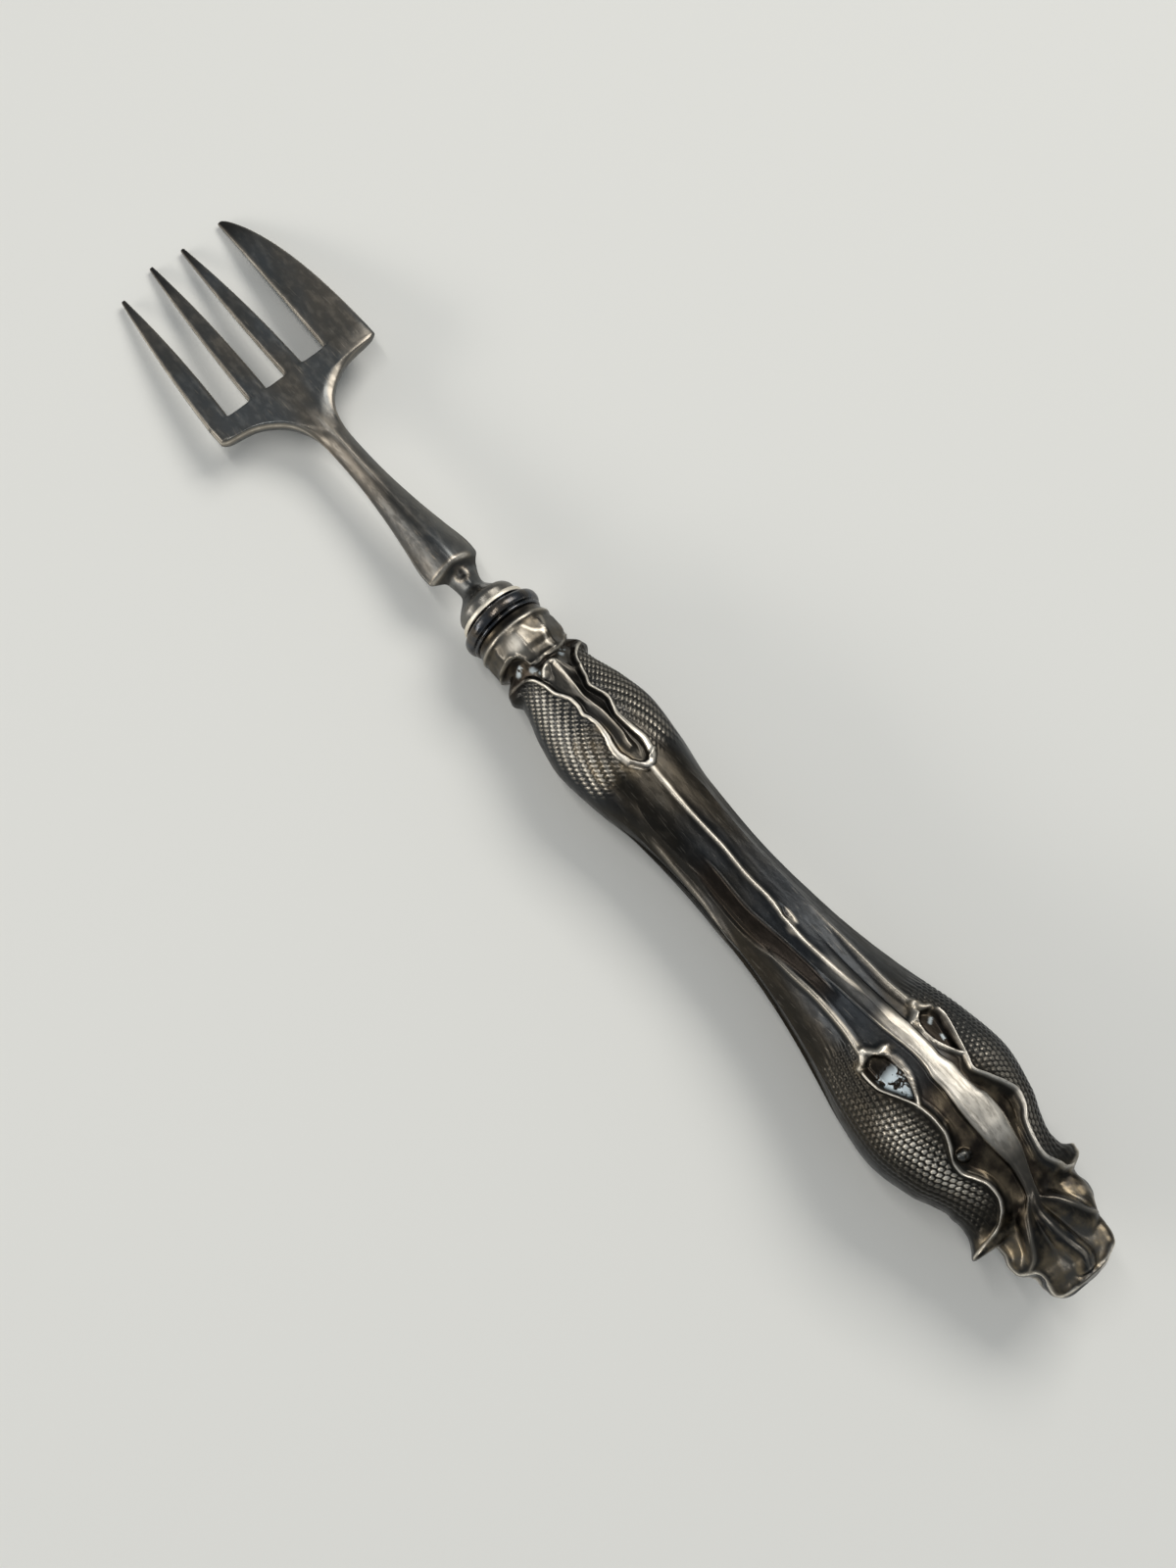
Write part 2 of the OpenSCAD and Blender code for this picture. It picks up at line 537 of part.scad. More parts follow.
slot_faces = [for (k = [0 : len(tine_edges) - 2], half = [0, 1])
    let (a = root_index(k, 4), b = root_index(k + 1, 0), c = root_index(k + 1, 9), d = root_index(k, 5))
    half == 0 ? [a, b, c] : [a, c, d]];

module fork_blank() {
    points = concat([for (r = blank_rings) each r], [for (r = tine_rings) each r], [[tang_from, 0, 0]]);
    color("gray") laid_down() polyhedron(points, concat(
        tube_faces(len(blank_rings), 2 * row, false),
        cap_faces(len(points) - 1, 0, 2 * row, true),
        tine_faces, tine_caps, slot_faces));
}

fork_blank();
ferrule_ring();
handle_back_shell();
handle_front_shell();
handle_filler();
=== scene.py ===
import math

import bmesh
import bpy
import numpy as np
from mathutils import Matrix, Vector, kdtree


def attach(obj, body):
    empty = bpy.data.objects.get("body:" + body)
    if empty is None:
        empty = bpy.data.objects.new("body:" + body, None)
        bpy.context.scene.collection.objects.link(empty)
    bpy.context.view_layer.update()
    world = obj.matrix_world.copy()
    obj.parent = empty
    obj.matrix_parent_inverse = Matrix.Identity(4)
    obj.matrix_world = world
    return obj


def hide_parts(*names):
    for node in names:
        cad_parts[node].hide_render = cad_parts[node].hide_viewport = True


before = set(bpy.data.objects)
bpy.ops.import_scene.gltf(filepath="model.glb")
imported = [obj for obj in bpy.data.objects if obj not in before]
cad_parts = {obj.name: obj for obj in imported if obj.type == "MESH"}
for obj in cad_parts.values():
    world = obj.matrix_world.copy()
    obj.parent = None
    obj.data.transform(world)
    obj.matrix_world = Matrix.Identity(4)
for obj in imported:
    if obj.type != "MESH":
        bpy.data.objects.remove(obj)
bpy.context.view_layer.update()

# Camera: the photograph's own place, a hand's breadth above the table beside the handle's end.
# It looks almost straight down, so the fork runs from the lower right to the upper left.
eye = Vector((-0.053678, 0.045690, 0.208118))
yaw = math.radians(-130.2714)
tilt = math.radians(17.2186)
roll = math.radians(0.2368)
lens_over_long_side = 2124.93 / 1600
sensor = 36
level = Vector((math.cos(yaw), math.sin(yaw), 0))
away = Vector((-math.sin(yaw), math.cos(yaw), 0))
upright = Vector((0, 0, 1))
sight = away * math.sin(tilt) - upright * math.cos(tilt)
top = away * math.cos(tilt) + upright * math.sin(tilt)
right_side = level * math.cos(roll) + top * math.sin(roll)
top_side = top * math.cos(roll) - level * math.sin(roll)
camera = bpy.data.objects.new("camera", bpy.data.cameras.new("camera"))
camera.matrix_world = Matrix.Translation(eye) @ Matrix((right_side, top_side, -sight)).transposed().to_4x4()
camera.data.sensor_width = sensor
camera.data.lens = lens_over_long_side * sensor
camera.data.clip_start = 0.01
camera.data.clip_end = 20
bpy.context.scene.collection.objects.link(camera)
bpy.context.scene.camera = camera
bpy.context.scene.view_settings.view_transform = "Standard"

# Table and light: a plain pale table top, a soft room, a broad soft lamp from the upper right of the
# picture, a low one from the lower left that draws the pearls out, and a narrow one along the fork.
table_size = 1.5
table_colour = (0.72, 0.72, 0.69, 1)
table_mesh = bmesh.new()
bmesh.ops.create_grid(table_mesh, x_segments=4, y_segments=4, size=table_size)
table_data = bpy.data.meshes.new("table")
table_mesh.to_mesh(table_data)
table_mesh.free()
table = bpy.data.objects.new("table", table_data)
bpy.context.scene.collection.objects.link(table)
table_paint = bpy.data.materials.new("table")
table_paint.use_nodes = True
table_shader = table_paint.node_tree.nodes["Principled BSDF"]
table_shader.inputs["Base Color"].default_value = table_colour
table_shader.inputs["Roughness"].default_value = 0.85
table_data.materials.append(table_paint)

room = bpy.data.worlds.new("room")
room.use_nodes = True
room.node_tree.nodes["Background"].inputs["Color"].default_value = (0.86, 0.93, 1, 1)
room.node_tree.nodes["Background"].inputs["Strength"].default_value = 0.30
bpy.context.scene.world = room


def add_lamp(name, place, aim, width, height, power, colour):
    lamp = bpy.data.lights.new(name, "AREA")
    lamp.shape = "RECTANGLE"
    lamp.size = width
    lamp.size_y = height
    lamp.energy = power
    lamp.color = colour
    holder = bpy.data.objects.new(name, lamp)
    holder.location = place
    holder.rotation_mode = "QUATERNION"
    holder.rotation_quaternion = (Vector(aim) - Vector(place)).to_track_quat("-Z", "Y")
    bpy.context.scene.collection.objects.link(holder)


fork_middle = (0, 0, 0.008)
add_lamp("broad_lamp", (0.10, -0.45, 0.55), fork_middle, 0.45, 0.30, 2.7, (1, 0.97, 0.92))
add_lamp("low_lamp", (0.25, 0.55, 0.22), fork_middle, 0.40, 0.14, 1.4, (1, 0.96, 0.9))
add_lamp("long_lamp", (0.02, 0.10, 0.60), fork_middle, 0.50, 0.05, 0.95, (1, 0.98, 0.95))

# Fork: one forging of silver plate over steel or brass, with a tang that is hidden in the handle,
# a round button, a ridged neck, drawn-out shoulders and four tines; the widest tine has a cutting edge.
handle_l = 86.2
ferrule_l = 2.8
overall_l = 148
bulge_at = 21.5
bulge_t = 14.4
rib_h = 0.9
arch_drop = 3.2
tip_t = 0.8
tip_w = 0.5
outer_reach = 9.9
outer_tine_w = 2.7
inner_tine_w = 2.5
broad_tine_w = 5.4
outer_slot_w = 2.75
middle_slot_w = 2.4
broad_slot_w = 2.9
plate_t = 1.7
plate_l = 2.5
root_at = 125.3
shoulder_l = 8
tang_d = 3
tang_l = 42
button_d = 7.0
button_l = 1.7
nip_d = 2.8
neck_w = 6.2
neck_t = 4.8
shank_w = 3
shank_t = 2.5
broad_reach = (outer_tine_w + outer_slot_w + inner_tine_w + middle_slot_w + inner_tine_w + broad_slot_w
               + broad_tine_w - outer_reach)

# How the finished fork lies: turned down until the handle's bulge and the tine tips both touch the table
bulge_drop = bulge_t / 2 + rib_h
lay = math.atan((bulge_drop - arch_drop - tip_t / 2) / (overall_l - bulge_at))
lift = bulge_at * math.sin(lay) + bulge_drop * math.cos(lay)
middle_x = (overall_l * math.cos(lay) - (arch_drop - tip_t / 2) * math.sin(lay)) / 2
middle_y = (outer_reach - broad_reach) / 2
millimetre = 0.001
lay_down = (Matrix.Scale(millimetre, 4) @ Matrix.Translation((-middle_x, -middle_y, lift))
            @ Matrix.Rotation(lay, 4, "Y"))


def mix(a, b, share):
    return a + (b - a) * share


def smooth(x, start, end):
    share = np.clip((x - start) / (end - start), 0, 1)
    return share * share * (3 - 2 * share)


def window(x, start, end, soft):
    return smooth(x, start - soft, start) * (1 - smooth(x, end, end + soft))


def ridge(distance, half_width):
    return np.exp(-(distance / half_width) ** 2)


def flow(x, knots):
    """Smooth curve through knots of place and value, flat at each peak and without overshoot."""
    places, values = np.array(knots, float).T
    step = np.diff(places)
    rise = np.diff(values) / step
    slope = np.zeros(len(places))
    same_way = rise[:-1] * rise[1:] > 0
    both = np.where(same_way, rise[:-1] + rise[1:], 1)
    slope[1:-1] = np.where(same_way, 2 * rise[:-1] * rise[1:] / both, 0)
    i = np.clip(np.searchsorted(places, x, side="right") - 1, 0, len(places) - 2)
    u = np.clip((x - places[i]) / step[i], 0, 1)
    return (values[i] * (1 + 2 * u) * (1 - u) ** 2 + values[i + 1] * u * u * (3 - 2 * u)
            + slope[i] * step[i] * u * (1 - u) ** 2 - slope[i + 1] * step[i] * u * u * (1 - u))


button_from = handle_l + ferrule_l
tang_from = button_from - tang_l
shoulder_at = root_at - plate_l
shank_to = shoulder_at - shoulder_l
neck_l = shank_to - button_from
corner_at = shoulder_at + plate_l * 0.2


def along_neck(share):
    return button_from + neck_l * share


def neck_knots(thin, thick, flare):
    shares = [[0.255, 1], [0.30, 1.03], [0.43, 0.72], [0.62, 0.3], [0.85, 0.02]]
    return ([[button_from, button_d / 2 * 0.96], [button_from + button_l * 0.45, button_d / 2],
             [button_from + button_l, mix(nip_d, button_d, 0.72) / 2],
             [along_neck(0.13), nip_d / 2], [along_neck(0.215), mix(nip_d, thick, flare) / 2]]
            + [[along_neck(at), mix(thin, thick, part) / 2] for at, part in shares]
            + [[shank_to, thin / 2]])


def shoulder_knots(reach):
    shares = [[0, 0], [0.25, 0.02], [0.45, 0.07], [0.63, 0.16], [0.76, 0.28], [0.87, 0.43],
              [0.94, 0.58], [0.98, 0.78], [1, 0.95]]
    return ([[mix(shank_to, shoulder_at, at), mix(shank_w / 2, reach, part)] for at, part in shares]
            + [[corner_at, reach]])


width_knots = {False: neck_knots(shank_w, neck_w, 0.16), True: neck_knots(shank_w, neck_w, 0.5)}
thick_knots = (neck_knots(shank_t, neck_t, 0.2)
               + [[shoulder_at, plate_t / 2], [overall_l, tip_t / 2]])
shoulder_sides = {False: shoulder_knots(outer_reach), True: shoulder_knots(broad_reach)}


def half_width(x, broad_side):
    return flow(x, width_knots[broad_side]) if x <= shank_to else flow(x, shoulder_sides[broad_side])


def drop(x):
    return 0 if x < shank_to else arch_drop * ((x - shank_to) / (overall_l - shank_to)) ** 2


tine_edges = []
tine_from = -broad_reach
for tine_w, slot_w in ((broad_tine_w, broad_slot_w), (inner_tine_w, middle_slot_w),
                       (inner_tine_w, outer_slot_w), (outer_tine_w, 0)):
    tine_edges.append((tine_from, tine_from + tine_w))
    tine_from += tine_w + slot_w
tip_shares = [-0.66, -0.187, 0.2, 0.707]
short_shares = [0.014, 0.018, 0, 0.073]
bevel_share = 0.16
edge_share = 0.45
edge_bevel = bevel_share * inner_tine_w
row_across = [y for low, high in tine_edges
              for y in (low, low + edge_bevel, (low + high) / 2, high - edge_bevel, high)]
row = len(row_across)
tine_row = row // len(tine_edges)
dent_at = 93.9
dent_r = 0.7
dent_depth = 0.3
roof_power = 1.3
plate_power = 30
neck_edge_share = 0.08
slope_share = 0.42
slope_w = 1.8


def both_rows(x, upper):
    """Points around a section: the upper row as it is given, then the same row below, backwards."""
    fall = float(drop(x))
    return ([Vector((x, y, z - fall)) for y, z in upper]
            + [Vector((x, y, -z - fall)) for y, z in reversed(upper)])


def blank_ring(x, radius=None):
    """Points around the blank at one place along it, round where a radius is given."""
    plateness = float(smooth(x, shank_to, shoulder_at))
    power = 2 if radius or x < button_from + button_l else mix(roof_power, plate_power, plateness ** 2)
    slope = slope_share * float(window(x, shank_to + 3, shoulder_at + 0.4, 2))
    edge = mix(neck_edge_share, edge_share, plateness)
    upper = []
    for i in range(row):
        angle = math.radians(-90 + 180 * (i + 0.5) / row)
        side = row_across[i] / (broad_reach if row_across[i] < 0 else outer_reach)
        u = mix(math.sin(angle) / math.cos(math.radians(90 / row)), side, plateness)
        w = radius or float(half_width(x, u < 0))
        h = radius or float(flow(x, thick_knots))
        z = h * max(edge, max(1 - abs(u) ** power, 0) ** (1 / power))
        if u < 0:
            z *= 1 - slope * max(1 - w * (1 + u) / slope_w, 0)
        z -= dent_depth * max(1 - math.hypot(x - dent_at, u * w) / dent_r, 0)
        upper.append((u * w, z))
    return both_rows(x, upper)


def tine_edge(tine, share, high_side):
    if tine == 0 and not high_side:
        return mix(broad_reach * tip_shares[0] - tip_w / 2, -broad_reach, (1 - share ** 2.6) ** 0.67)
    low, high = tine_edges[tine]
    tip = tip_shares[tine] * (broad_reach if tine < 2 else outer_reach)
    if tine == 0:
        return mix(high, tip + tip_w / 2, share)
    half = mix((high - low) / 2, tip_w / 2, share ** 2.1)
    return mix((low + high) / 2, tip, share) + (half if high_side else -half)


def tine_ring(tine, share):
    """Points around one tine, a share of its length out from the root."""
    x = root_at + (overall_l - root_at) * (1 - short_shares[tine]) * share
    low = tine_edge(tine, share, False)
    high = tine_edge(tine, share, True)
    h = float(flow(x, thick_knots))
    edge_h = h * edge_share
    bevel = bevel_share * min((high - low) * 1.3, inner_tine_w)
    return both_rows(x, [(low, edge_h), (low + bevel, h), ((low + high) / 2, h), (high - bevel, h),
                         (high, edge_h)])


def only(geometry, kind):
    return [part for part in geometry if isinstance(part, kind)]


blank = bmesh.new()
number = blank.verts.layers.int.new("number")
wear_and_highlight = blank.verts.layers.float.new("wear_and_highlight")
dark = blank.verts.layers.float.new("dark")
crease = blank.edges.layers.float.new("crease_edge")
ring_verts = bmesh.ops.create_circle(blank, segments=2 * row, radius=1)["verts"]
for i, vertex in enumerate(ring_verts):
    vertex[number] = i
ring_edges = blank.edges[:]
button_stations = [0, 0.04, 0.25, 0.5, 0.75, 0.9, 1]
neck_stations = [0.085, 0.1, 0.115, 0.13, 0.145, 0.157, 0.168, 0.178, 0.188, 0.198, 0.209, 0.22, 0.232,
                 0.242, 0.248, 0.254, 0.265, 0.28, 0.30, 0.33, 0.37, 0.41, 0.46, 0.52, 0.58, 0.65, 0.72,
                 0.79, 0.86, 0.93]
shoulder_stations = [0, 0.12, 0.25, 0.35, 0.45, 0.54, 0.63, 0.7, 0.76, 0.82, 0.87, 0.91, 0.94, 0.965,
                     0.985, 1]
tang_stations = [(tang_from, 0.8), (tang_from + 0.4, 1), (button_from - 2, 1), (button_from + 0.02, 1)]
ring_places = [button_from + button_l * share for share in button_stations]
ring_places += [along_neck(share) for share in neck_stations]
ring_places += [mix(shank_to, shoulder_at, share) for share in shoulder_stations]
ring_places += [corner_at - 0.1, corner_at, corner_at + 0.12, mix(corner_at, root_at, 0.5),
                root_at - 0.2, root_at]
blank_rings = [blank_ring(x, tang_d / 2 * share) for x, share in tang_stations]
blank_rings += [blank_ring(x) for x in ring_places]
for points in blank_rings:
    if points is not blank_rings[0]:
        grown = bmesh.ops.extrude_edge_only(blank, edges=ring_edges)["geom"]
        ring_verts = only(grown, bmesh.types.BMVert)
        ring_edges = [edge for edge in only(grown, bmesh.types.BMEdge)
                      if all(vertex in ring_verts for vertex in edge.verts)]
    for vertex in ring_verts:
        vertex.co = points[vertex[number]]

# The plate's end is one face, cut into strips; the strips of each tine are drawn out step by step
bmesh.ops.contextual_create(blank, geom=ring_edges)
by_number = {vertex[number]: vertex for vertex in ring_verts}
last = 2 * row - 1
for i in range(1, row - 1):
    bmesh.ops.connect_verts(blank, verts=[by_number[i], by_number[last - i]])
root_verts = set(ring_verts)
end_faces = [face for face in blank.faces if root_verts.issuperset(face.verts)]
tine_stations = [0.012, 0.06, 0.16, 0.28, 0.4, 0.52, 0.63, 0.73, 0.81, 0.88, 0.93, 0.965, 0.985, 1]
tine_starts = []
for first in range(0, row, tine_row):
    members = set(range(first, first + tine_row))
    members |= {last - i for i in members}
    tine_starts.append([face for face in end_faces if all(v[number] in members for v in face.verts)])
for tine, tine_faces in enumerate(tine_starts):
    first = tine_row * tine
    for share in tine_stations:
        grown = bmesh.ops.extrude_face_region(blank, geom=tine_faces)["geom"]
        bmesh.ops.delete(blank, geom=[face for face in tine_faces if face.is_valid], context="FACES_ONLY")
        tine_faces = only(grown, bmesh.types.BMFace)
        points = tine_ring(tine, share)
        for vertex in only(grown, bmesh.types.BMVert):
            i = vertex[number]
            vertex.co = points[i - first if i < row else 2 * tine_row - 1 - (last - i - first)]
            # Painted highlight along one edge of each tine, fainter along its other edge
            vertex[wear_and_highlight] = {tine_row - 1: 0.9, 0: 0.35}.get(i % tine_row, 0) if i < row else 0
bmesh.ops.delete(blank, geom=[edge for edge in blank.edges if edge.is_wire], context="EDGES")
for slot in range(tine_row, row, tine_row):
    for i in (slot - 1, slot):
        for edge in by_number[i].link_edges:
            if edge.other_vert(by_number[i])[number] == last - i:
                edge[crease] = 0.9
bmesh.ops.holes_fill(blank, edges=[edge for edge in blank.edges if edge.is_boundary], sides=2 * row)
bmesh.ops.recalc_face_normals(blank, faces=blank.faces)

# Painted highlights on the neck and head: the roof's ridge, the lip, the rim of a dent, the shoulders'
# edges; the button is lightened all over
lip_at = 95.4
button_to = button_from + button_l
for vertex in blank.verts:
    x, y, z = vertex.co
    dent_away = math.hypot(x - dent_at, y)
    if z + drop(x) > 0 and x < root_at:
        vertex[wear_and_highlight] = max(0.75 * window(x, 109, 118, 3) * ridge(y - 0.1, 0.5),
                           ridge(x - lip_at, 0.3) * smooth(y, -2.6, -1.6),
                           0.22 * window(x, button_from, button_to, 0.3),
                           0.9 * ridge(dent_away - dent_r, 0.16),
                           0.8 * (x > shank_to and vertex[number] == row - 1),
                           0.45 * window(x, shank_to + 3, shoulder_at, 2) * (vertex[number] in (1, 2)))
    # Painted shade: the tine tips where they curve down, a band under the lip, the side of the neck's roof
    # away from the light and the inside of the dent; the nip is darkened too
    vertex[dark] = max(0.8 * smooth(x, 141, 147), 0.75 * window(x, 94.3, 95.0, 0.3),
                       0.5 * window(x, 97, 113, 5) * smooth(y, -0.6, 0.4),
                       0.9 * (1 - smooth(dent_away, 0.35, 0.65)),
                       0.45 * window(x, button_to, 93.4, 0.6))
corner_numbers = {0, 1, 2, last - 1, last} | set(range(row - 3, row + 3))
for edge in blank.edges:
    if all(abs(v.co.x - corner_at) < 0.001 and v[number] in corner_numbers for v in edge.verts):
        edge[crease] = 0.95
bmesh.ops.transform(blank, matrix=lay_down, verts=blank.verts)


def piece_from(mesh, name):
    """Turns a finished mesh, already in its place, into an object that rides on the only body."""
    for face in mesh.faces:
        face.smooth = True
    data = bpy.data.meshes.new(name)
    mesh.to_mesh(data)
    mesh.free()
    piece = bpy.data.objects.new(name, data)
    bpy.context.scene.collection.objects.link(piece)
    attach(piece, "root")
    return piece


fork = piece_from(blank, "fork_forging")
rounding = fork.modifiers.new("rounding", "SUBSURF")
rounding.levels = 2
rounding.render_levels = 2
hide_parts("fork_blank")


def add_node(tree, kind, values=None, **settings):
    """A node with its settings, and its inputs either given a value or joined to another socket."""
    node = tree.nodes.new(kind)
    for name, value in settings.items():
        setattr(node, name, value)
    for socket, value in (values or {}).items():
        if isinstance(value, bpy.types.NodeSocket):
            tree.links.new(value, node.inputs[socket])
        else:
            node.inputs[socket].default_value = value
    return node


def add_math(tree, operation, *values):
    return add_node(tree, "ShaderNodeMath", dict(enumerate(values)), operation=operation).outputs[0]


def add_blend(tree, share, first, second):
    """Blends two colours, each given as a value or a socket."""
    return add_node(tree, "ShaderNodeMix", {0: share, 6: first, 7: second}, data_type="RGBA").outputs[2]


def add_ramp(tree, share, low, high):
    return add_node(tree, "ShaderNodeMapRange", {"Value": share, "From Min": low, "From Max": high},
                    interpolation_type="SMOOTHSTEP").outputs[0]


def add_noise(tree, place, scale, detail, **values):
    return add_node(tree, "ShaderNodeTexNoise",
                    {"Vector": place, "Scale": scale, "Detail": detail, **values}).outputs[0]


def add_mapping(tree, place, **values):
    return add_node(tree, "ShaderNodeMapping", {"Vector": place, **values}).outputs[0]


def object_place(tree):
    return add_node(tree, "ShaderNodeTexCoord").outputs["Object"]


def painted(tree, name):
    """Reads a mask that was painted on the points of the mesh."""
    return add_node(tree, "ShaderNodeAttribute", attribute_name=name).outputs["Fac"]


def new_group(name, values, masks):
    """A shader node group that takes a place and some values, and puts out masks."""
    group = bpy.data.node_groups.new(name, "ShaderNodeTree")
    group.interface.new_socket(name="Place", in_out="INPUT", socket_type="NodeSocketVector")
    for label, default in values.items():
        socket = group.interface.new_socket(name=label, in_out="INPUT", socket_type="NodeSocketFloat")
        socket.default_value = default
    for label in masks:
        group.interface.new_socket(name=label, in_out="OUTPUT", socket_type="NodeSocketFloat")
    return group, group.nodes.new("NodeGroupInput").outputs, group.nodes.new("NodeGroupOutput").inputs


# Tarnish: brown and faint blue clouds over dark silver, with tiny specks and the grain of polishing
tarnish, given, result = new_group("tarnish", {"Cloud Scale": 120.0, "Speck Scale": 1500.0},
                                   ("Cloud", "Tint", "Speck", "Grain"))
shifted = add_node(tarnish, "ShaderNodeVectorMath", {0: given["Place"], 1: (0.31, 0.17, 0.23)}).outputs[0]
drawn = add_mapping(tarnish, given["Place"], Scale=(0.3, 1, 1))
for label, noise, low, high in (
        ("Cloud", add_noise(tarnish, given["Place"], given["Cloud Scale"], 5.0, Roughness=0.6), 0.36, 0.66),
        ("Tint", add_noise(tarnish, shifted, given["Cloud Scale"], 3.0), 0.40, 0.62),
        ("Speck", add_noise(tarnish, given["Place"], given["Speck Scale"], 2.0), 0.42, 0.72),
        ("Grain", add_noise(tarnish, drawn, 2600.0, 4.0, Roughness=0.7), 0.42, 0.72)):
    tarnish.links.new(add_ramp(tarnish, noise, low, high), result[label])

# Rubbed and lit edge: breaks a smooth mask up, as where hands and cloths have worn the tarnish off high
# edges; the same mask also carries painted highlights
rubbed_and_lit_group, given, result = new_group("rubbed_and_lit_edge", {"Mask": 0.0, "Break": 0.30, "Scale": 700.0}, ["Mask"])
patch = add_math(rubbed_and_lit_group, "SUBTRACT", add_noise(rubbed_and_lit_group, given["Place"], given["Scale"], 6.0), 0.5)
uneven = add_math(rubbed_and_lit_group, "MULTIPLY_ADD", patch, add_math(rubbed_and_lit_group, "MULTIPLY", given["Break"], 2.0),
                  given["Mask"])
rubbed_and_lit_group.links.new(add_ramp(rubbed_and_lit_group, uneven, 0.45, 0.95), result["Mask"])

# Fine scratches: long thin marks in two directions
scratches, given, result = new_group("fine_scratches", {"Amount": 0.5}, ["Mask"])
marks = []
for turn, stretch in ((0.9, (420, 6200, 900)), (-0.6, (520, 7100, 900))):
    turned = add_mapping(scratches, given["Place"], Rotation=(0, 0, turn), Scale=stretch)
    marks.append(add_ramp(scratches, add_noise(scratches, turned, 1.0, 1.0), 0.67, 0.80))
all_marks = add_math(scratches, "MAXIMUM", *marks)
scratches.links.new(add_math(scratches, "MULTIPLY", all_marks, given["Amount"]), result["Mask"])


def add_group(tree, group, values):
    return add_node(tree, "ShaderNodeGroup", values, node_tree=group).outputs


def silver_material(name, dark, brown, blue, half_bare_and_lit, pale, cloud_scale, dull,
                    bright_roughness, scratch_amount, grain_amount):
    """Old silver: tarnished dark, thinly tarnished where the mask of wear and painted highlights is half
    full, pale where it is full, and darkened by the mask of tarnish and painted shade.
    """
    material = bpy.data.materials.new(name)
    material.use_nodes = True
    tree = material.node_tree
    shader = tree.nodes["Principled BSDF"].inputs
    shader["Metallic"].default_value = 1
    place = object_place(tree)
    drawn_out = add_mapping(tree, place, Scale=(0.45, 1, 1))
    stain = add_group(tree, tarnish, {"Place": drawn_out, "Cloud Scale": cloud_scale})
    base = add_blend(tree, stain["Cloud"], dark, brown)
    base = add_blend(tree, add_math(tree, "MULTIPLY", stain["Tint"], 0.6), base, blue)
    mark = add_group(tree, scratches, {"Place": place, "Amount": scratch_amount})
    base = add_blend(tree, mark["Mask"], base, half_bare_and_lit)
    mask = painted(tree, "wear_and_highlight")
    base = add_blend(tree, add_ramp(tree, mask, 0.0, 0.55), base, half_bare_and_lit)
    rubbed_and_lit = add_group(tree, rubbed_and_lit_group, {"Place": drawn_out, "Mask": mask})
    bare_and_lit_silver = add_blend(tree, add_math(tree, "MULTIPLY", stain["Grain"], grain_amount), pale, half_bare_and_lit)
    base = add_blend(tree, rubbed_and_lit["Mask"], base, bare_and_lit_silver)
    # The dark mask paints tarnish in the hollows, and shade in pits, under edges and on unlit sides
    tarnish_and_shade = add_math(tree, "MULTIPLY", painted(tree, "dark"), 0.85)
    base = add_blend(tree, tarnish_and_shade, base, (0.022, 0.017, 0.013, 1))
    tree.links.new(base, shader["Base Color"])
    rough = add_math(tree, "MULTIPLY_ADD", stain["Speck"], 0.14, dull)
    rough = add_node(tree, "ShaderNodeMix", {"Factor": rubbed_and_lit["Mask"], "A": rough, "B": bright_roughness},
                     data_type="FLOAT").outputs[0]
    tree.links.new(rough, shader["Roughness"])
    bump = add_node(tree, "ShaderNodeBump", {"Height": stain["Speck"], "Strength": 0.05, "Distance": 0.0002})
    tree.links.new(bump.outputs[0], shader["Normal"])
    return material


fork.data.materials.append(silver_material(
    "fork_silver", dark=(0.115, 0.112, 0.103, 1), brown=(0.165, 0.147, 0.122, 1),
    blue=(0.125, 0.138, 0.146, 1), half_bare_and_lit=(0.25, 0.225, 0.19, 1), pale=(0.70, 0.64, 0.55, 1),
    cloud_scale=190.0, dull=0.32, bright_roughness=0.36, scratch_amount=1.0, grain_amount=0.6))

# Ferrule ring: a turned moulding slipped over the tang and soldered to the mouth of the handle,
# with a dark glossy wide ring next to the handle, a black groove and a bright ring by the button.
mouth_d = 8.1
bead_d = 9.3
bright_d = 7.7
groove_d = 7.0
ring_bore = tang_d / 2 + 0.1
ring_steps = 96


def bead(start, end, foot, crown, flatness, steps=12):
    return [(mix(start, end, (1 - math.cos(math.pi * i / steps)) / 2) * ferrule_l,
             mix(foot, crown, math.sin(math.pi * i / steps) ** flatness) / 2) for i in range(steps + 1)]


ring_outline = [(0, ring_bore)] + bead(0, 0.15, mouth_d - 0.1, mouth_d + 0.5, 0.7)
ring_outline += bead(0.17, 0.62, groove_d + 0.9, bead_d, 0.45)
ring_outline += bead(0.76, 1, groove_d, bright_d, 0.4)
ring_outline += [(ferrule_l, ring_bore)]
moulding = bmesh.new()
ring_worn = moulding.verts.layers.float.new("wear_and_highlight")
outline_verts = []
for x, r in ring_outline:
    vertex = moulding.verts.new((handle_l + x, 0, r))
    vertex[ring_worn] = 1.0 if x > 0.8 * ferrule_l and r > groove_d / 2 + 0.1 else 0.0
    outline_verts.append(vertex)
outline_edges = [moulding.edges.new((a, b)) for a, b in
                 zip(outline_verts, outline_verts[1:] + outline_verts[:1])]
bmesh.ops.spin(moulding, geom=outline_verts + outline_edges, cent=(0, 0, 0), axis=(1, 0, 0),
               angle=2 * math.pi, steps=ring_steps, use_merge=True)
bmesh.ops.remove_doubles(moulding, verts=moulding.verts, dist=0.0001)
bmesh.ops.recalc_face_normals(moulding, faces=moulding.faces)
bmesh.ops.transform(moulding, matrix=lay_down, verts=moulding.verts)
ferrule = piece_from(moulding, "ferrule_moulding")
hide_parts("ferrule_ring")
ferrule.data.materials.append(silver_material(
    "ferrule_silver", dark=(0.045, 0.044, 0.044, 1), brown=(0.13, 0.11, 0.09, 1),
    blue=(0.08, 0.092, 0.11, 1), half_bare_and_lit=(0.26, 0.23, 0.20, 1), pale=(0.80, 0.74, 0.63, 1),
    cloud_scale=500.0, dull=0.2, bright_roughness=0.5, scratch_amount=0.5, grain_amount=0.15))
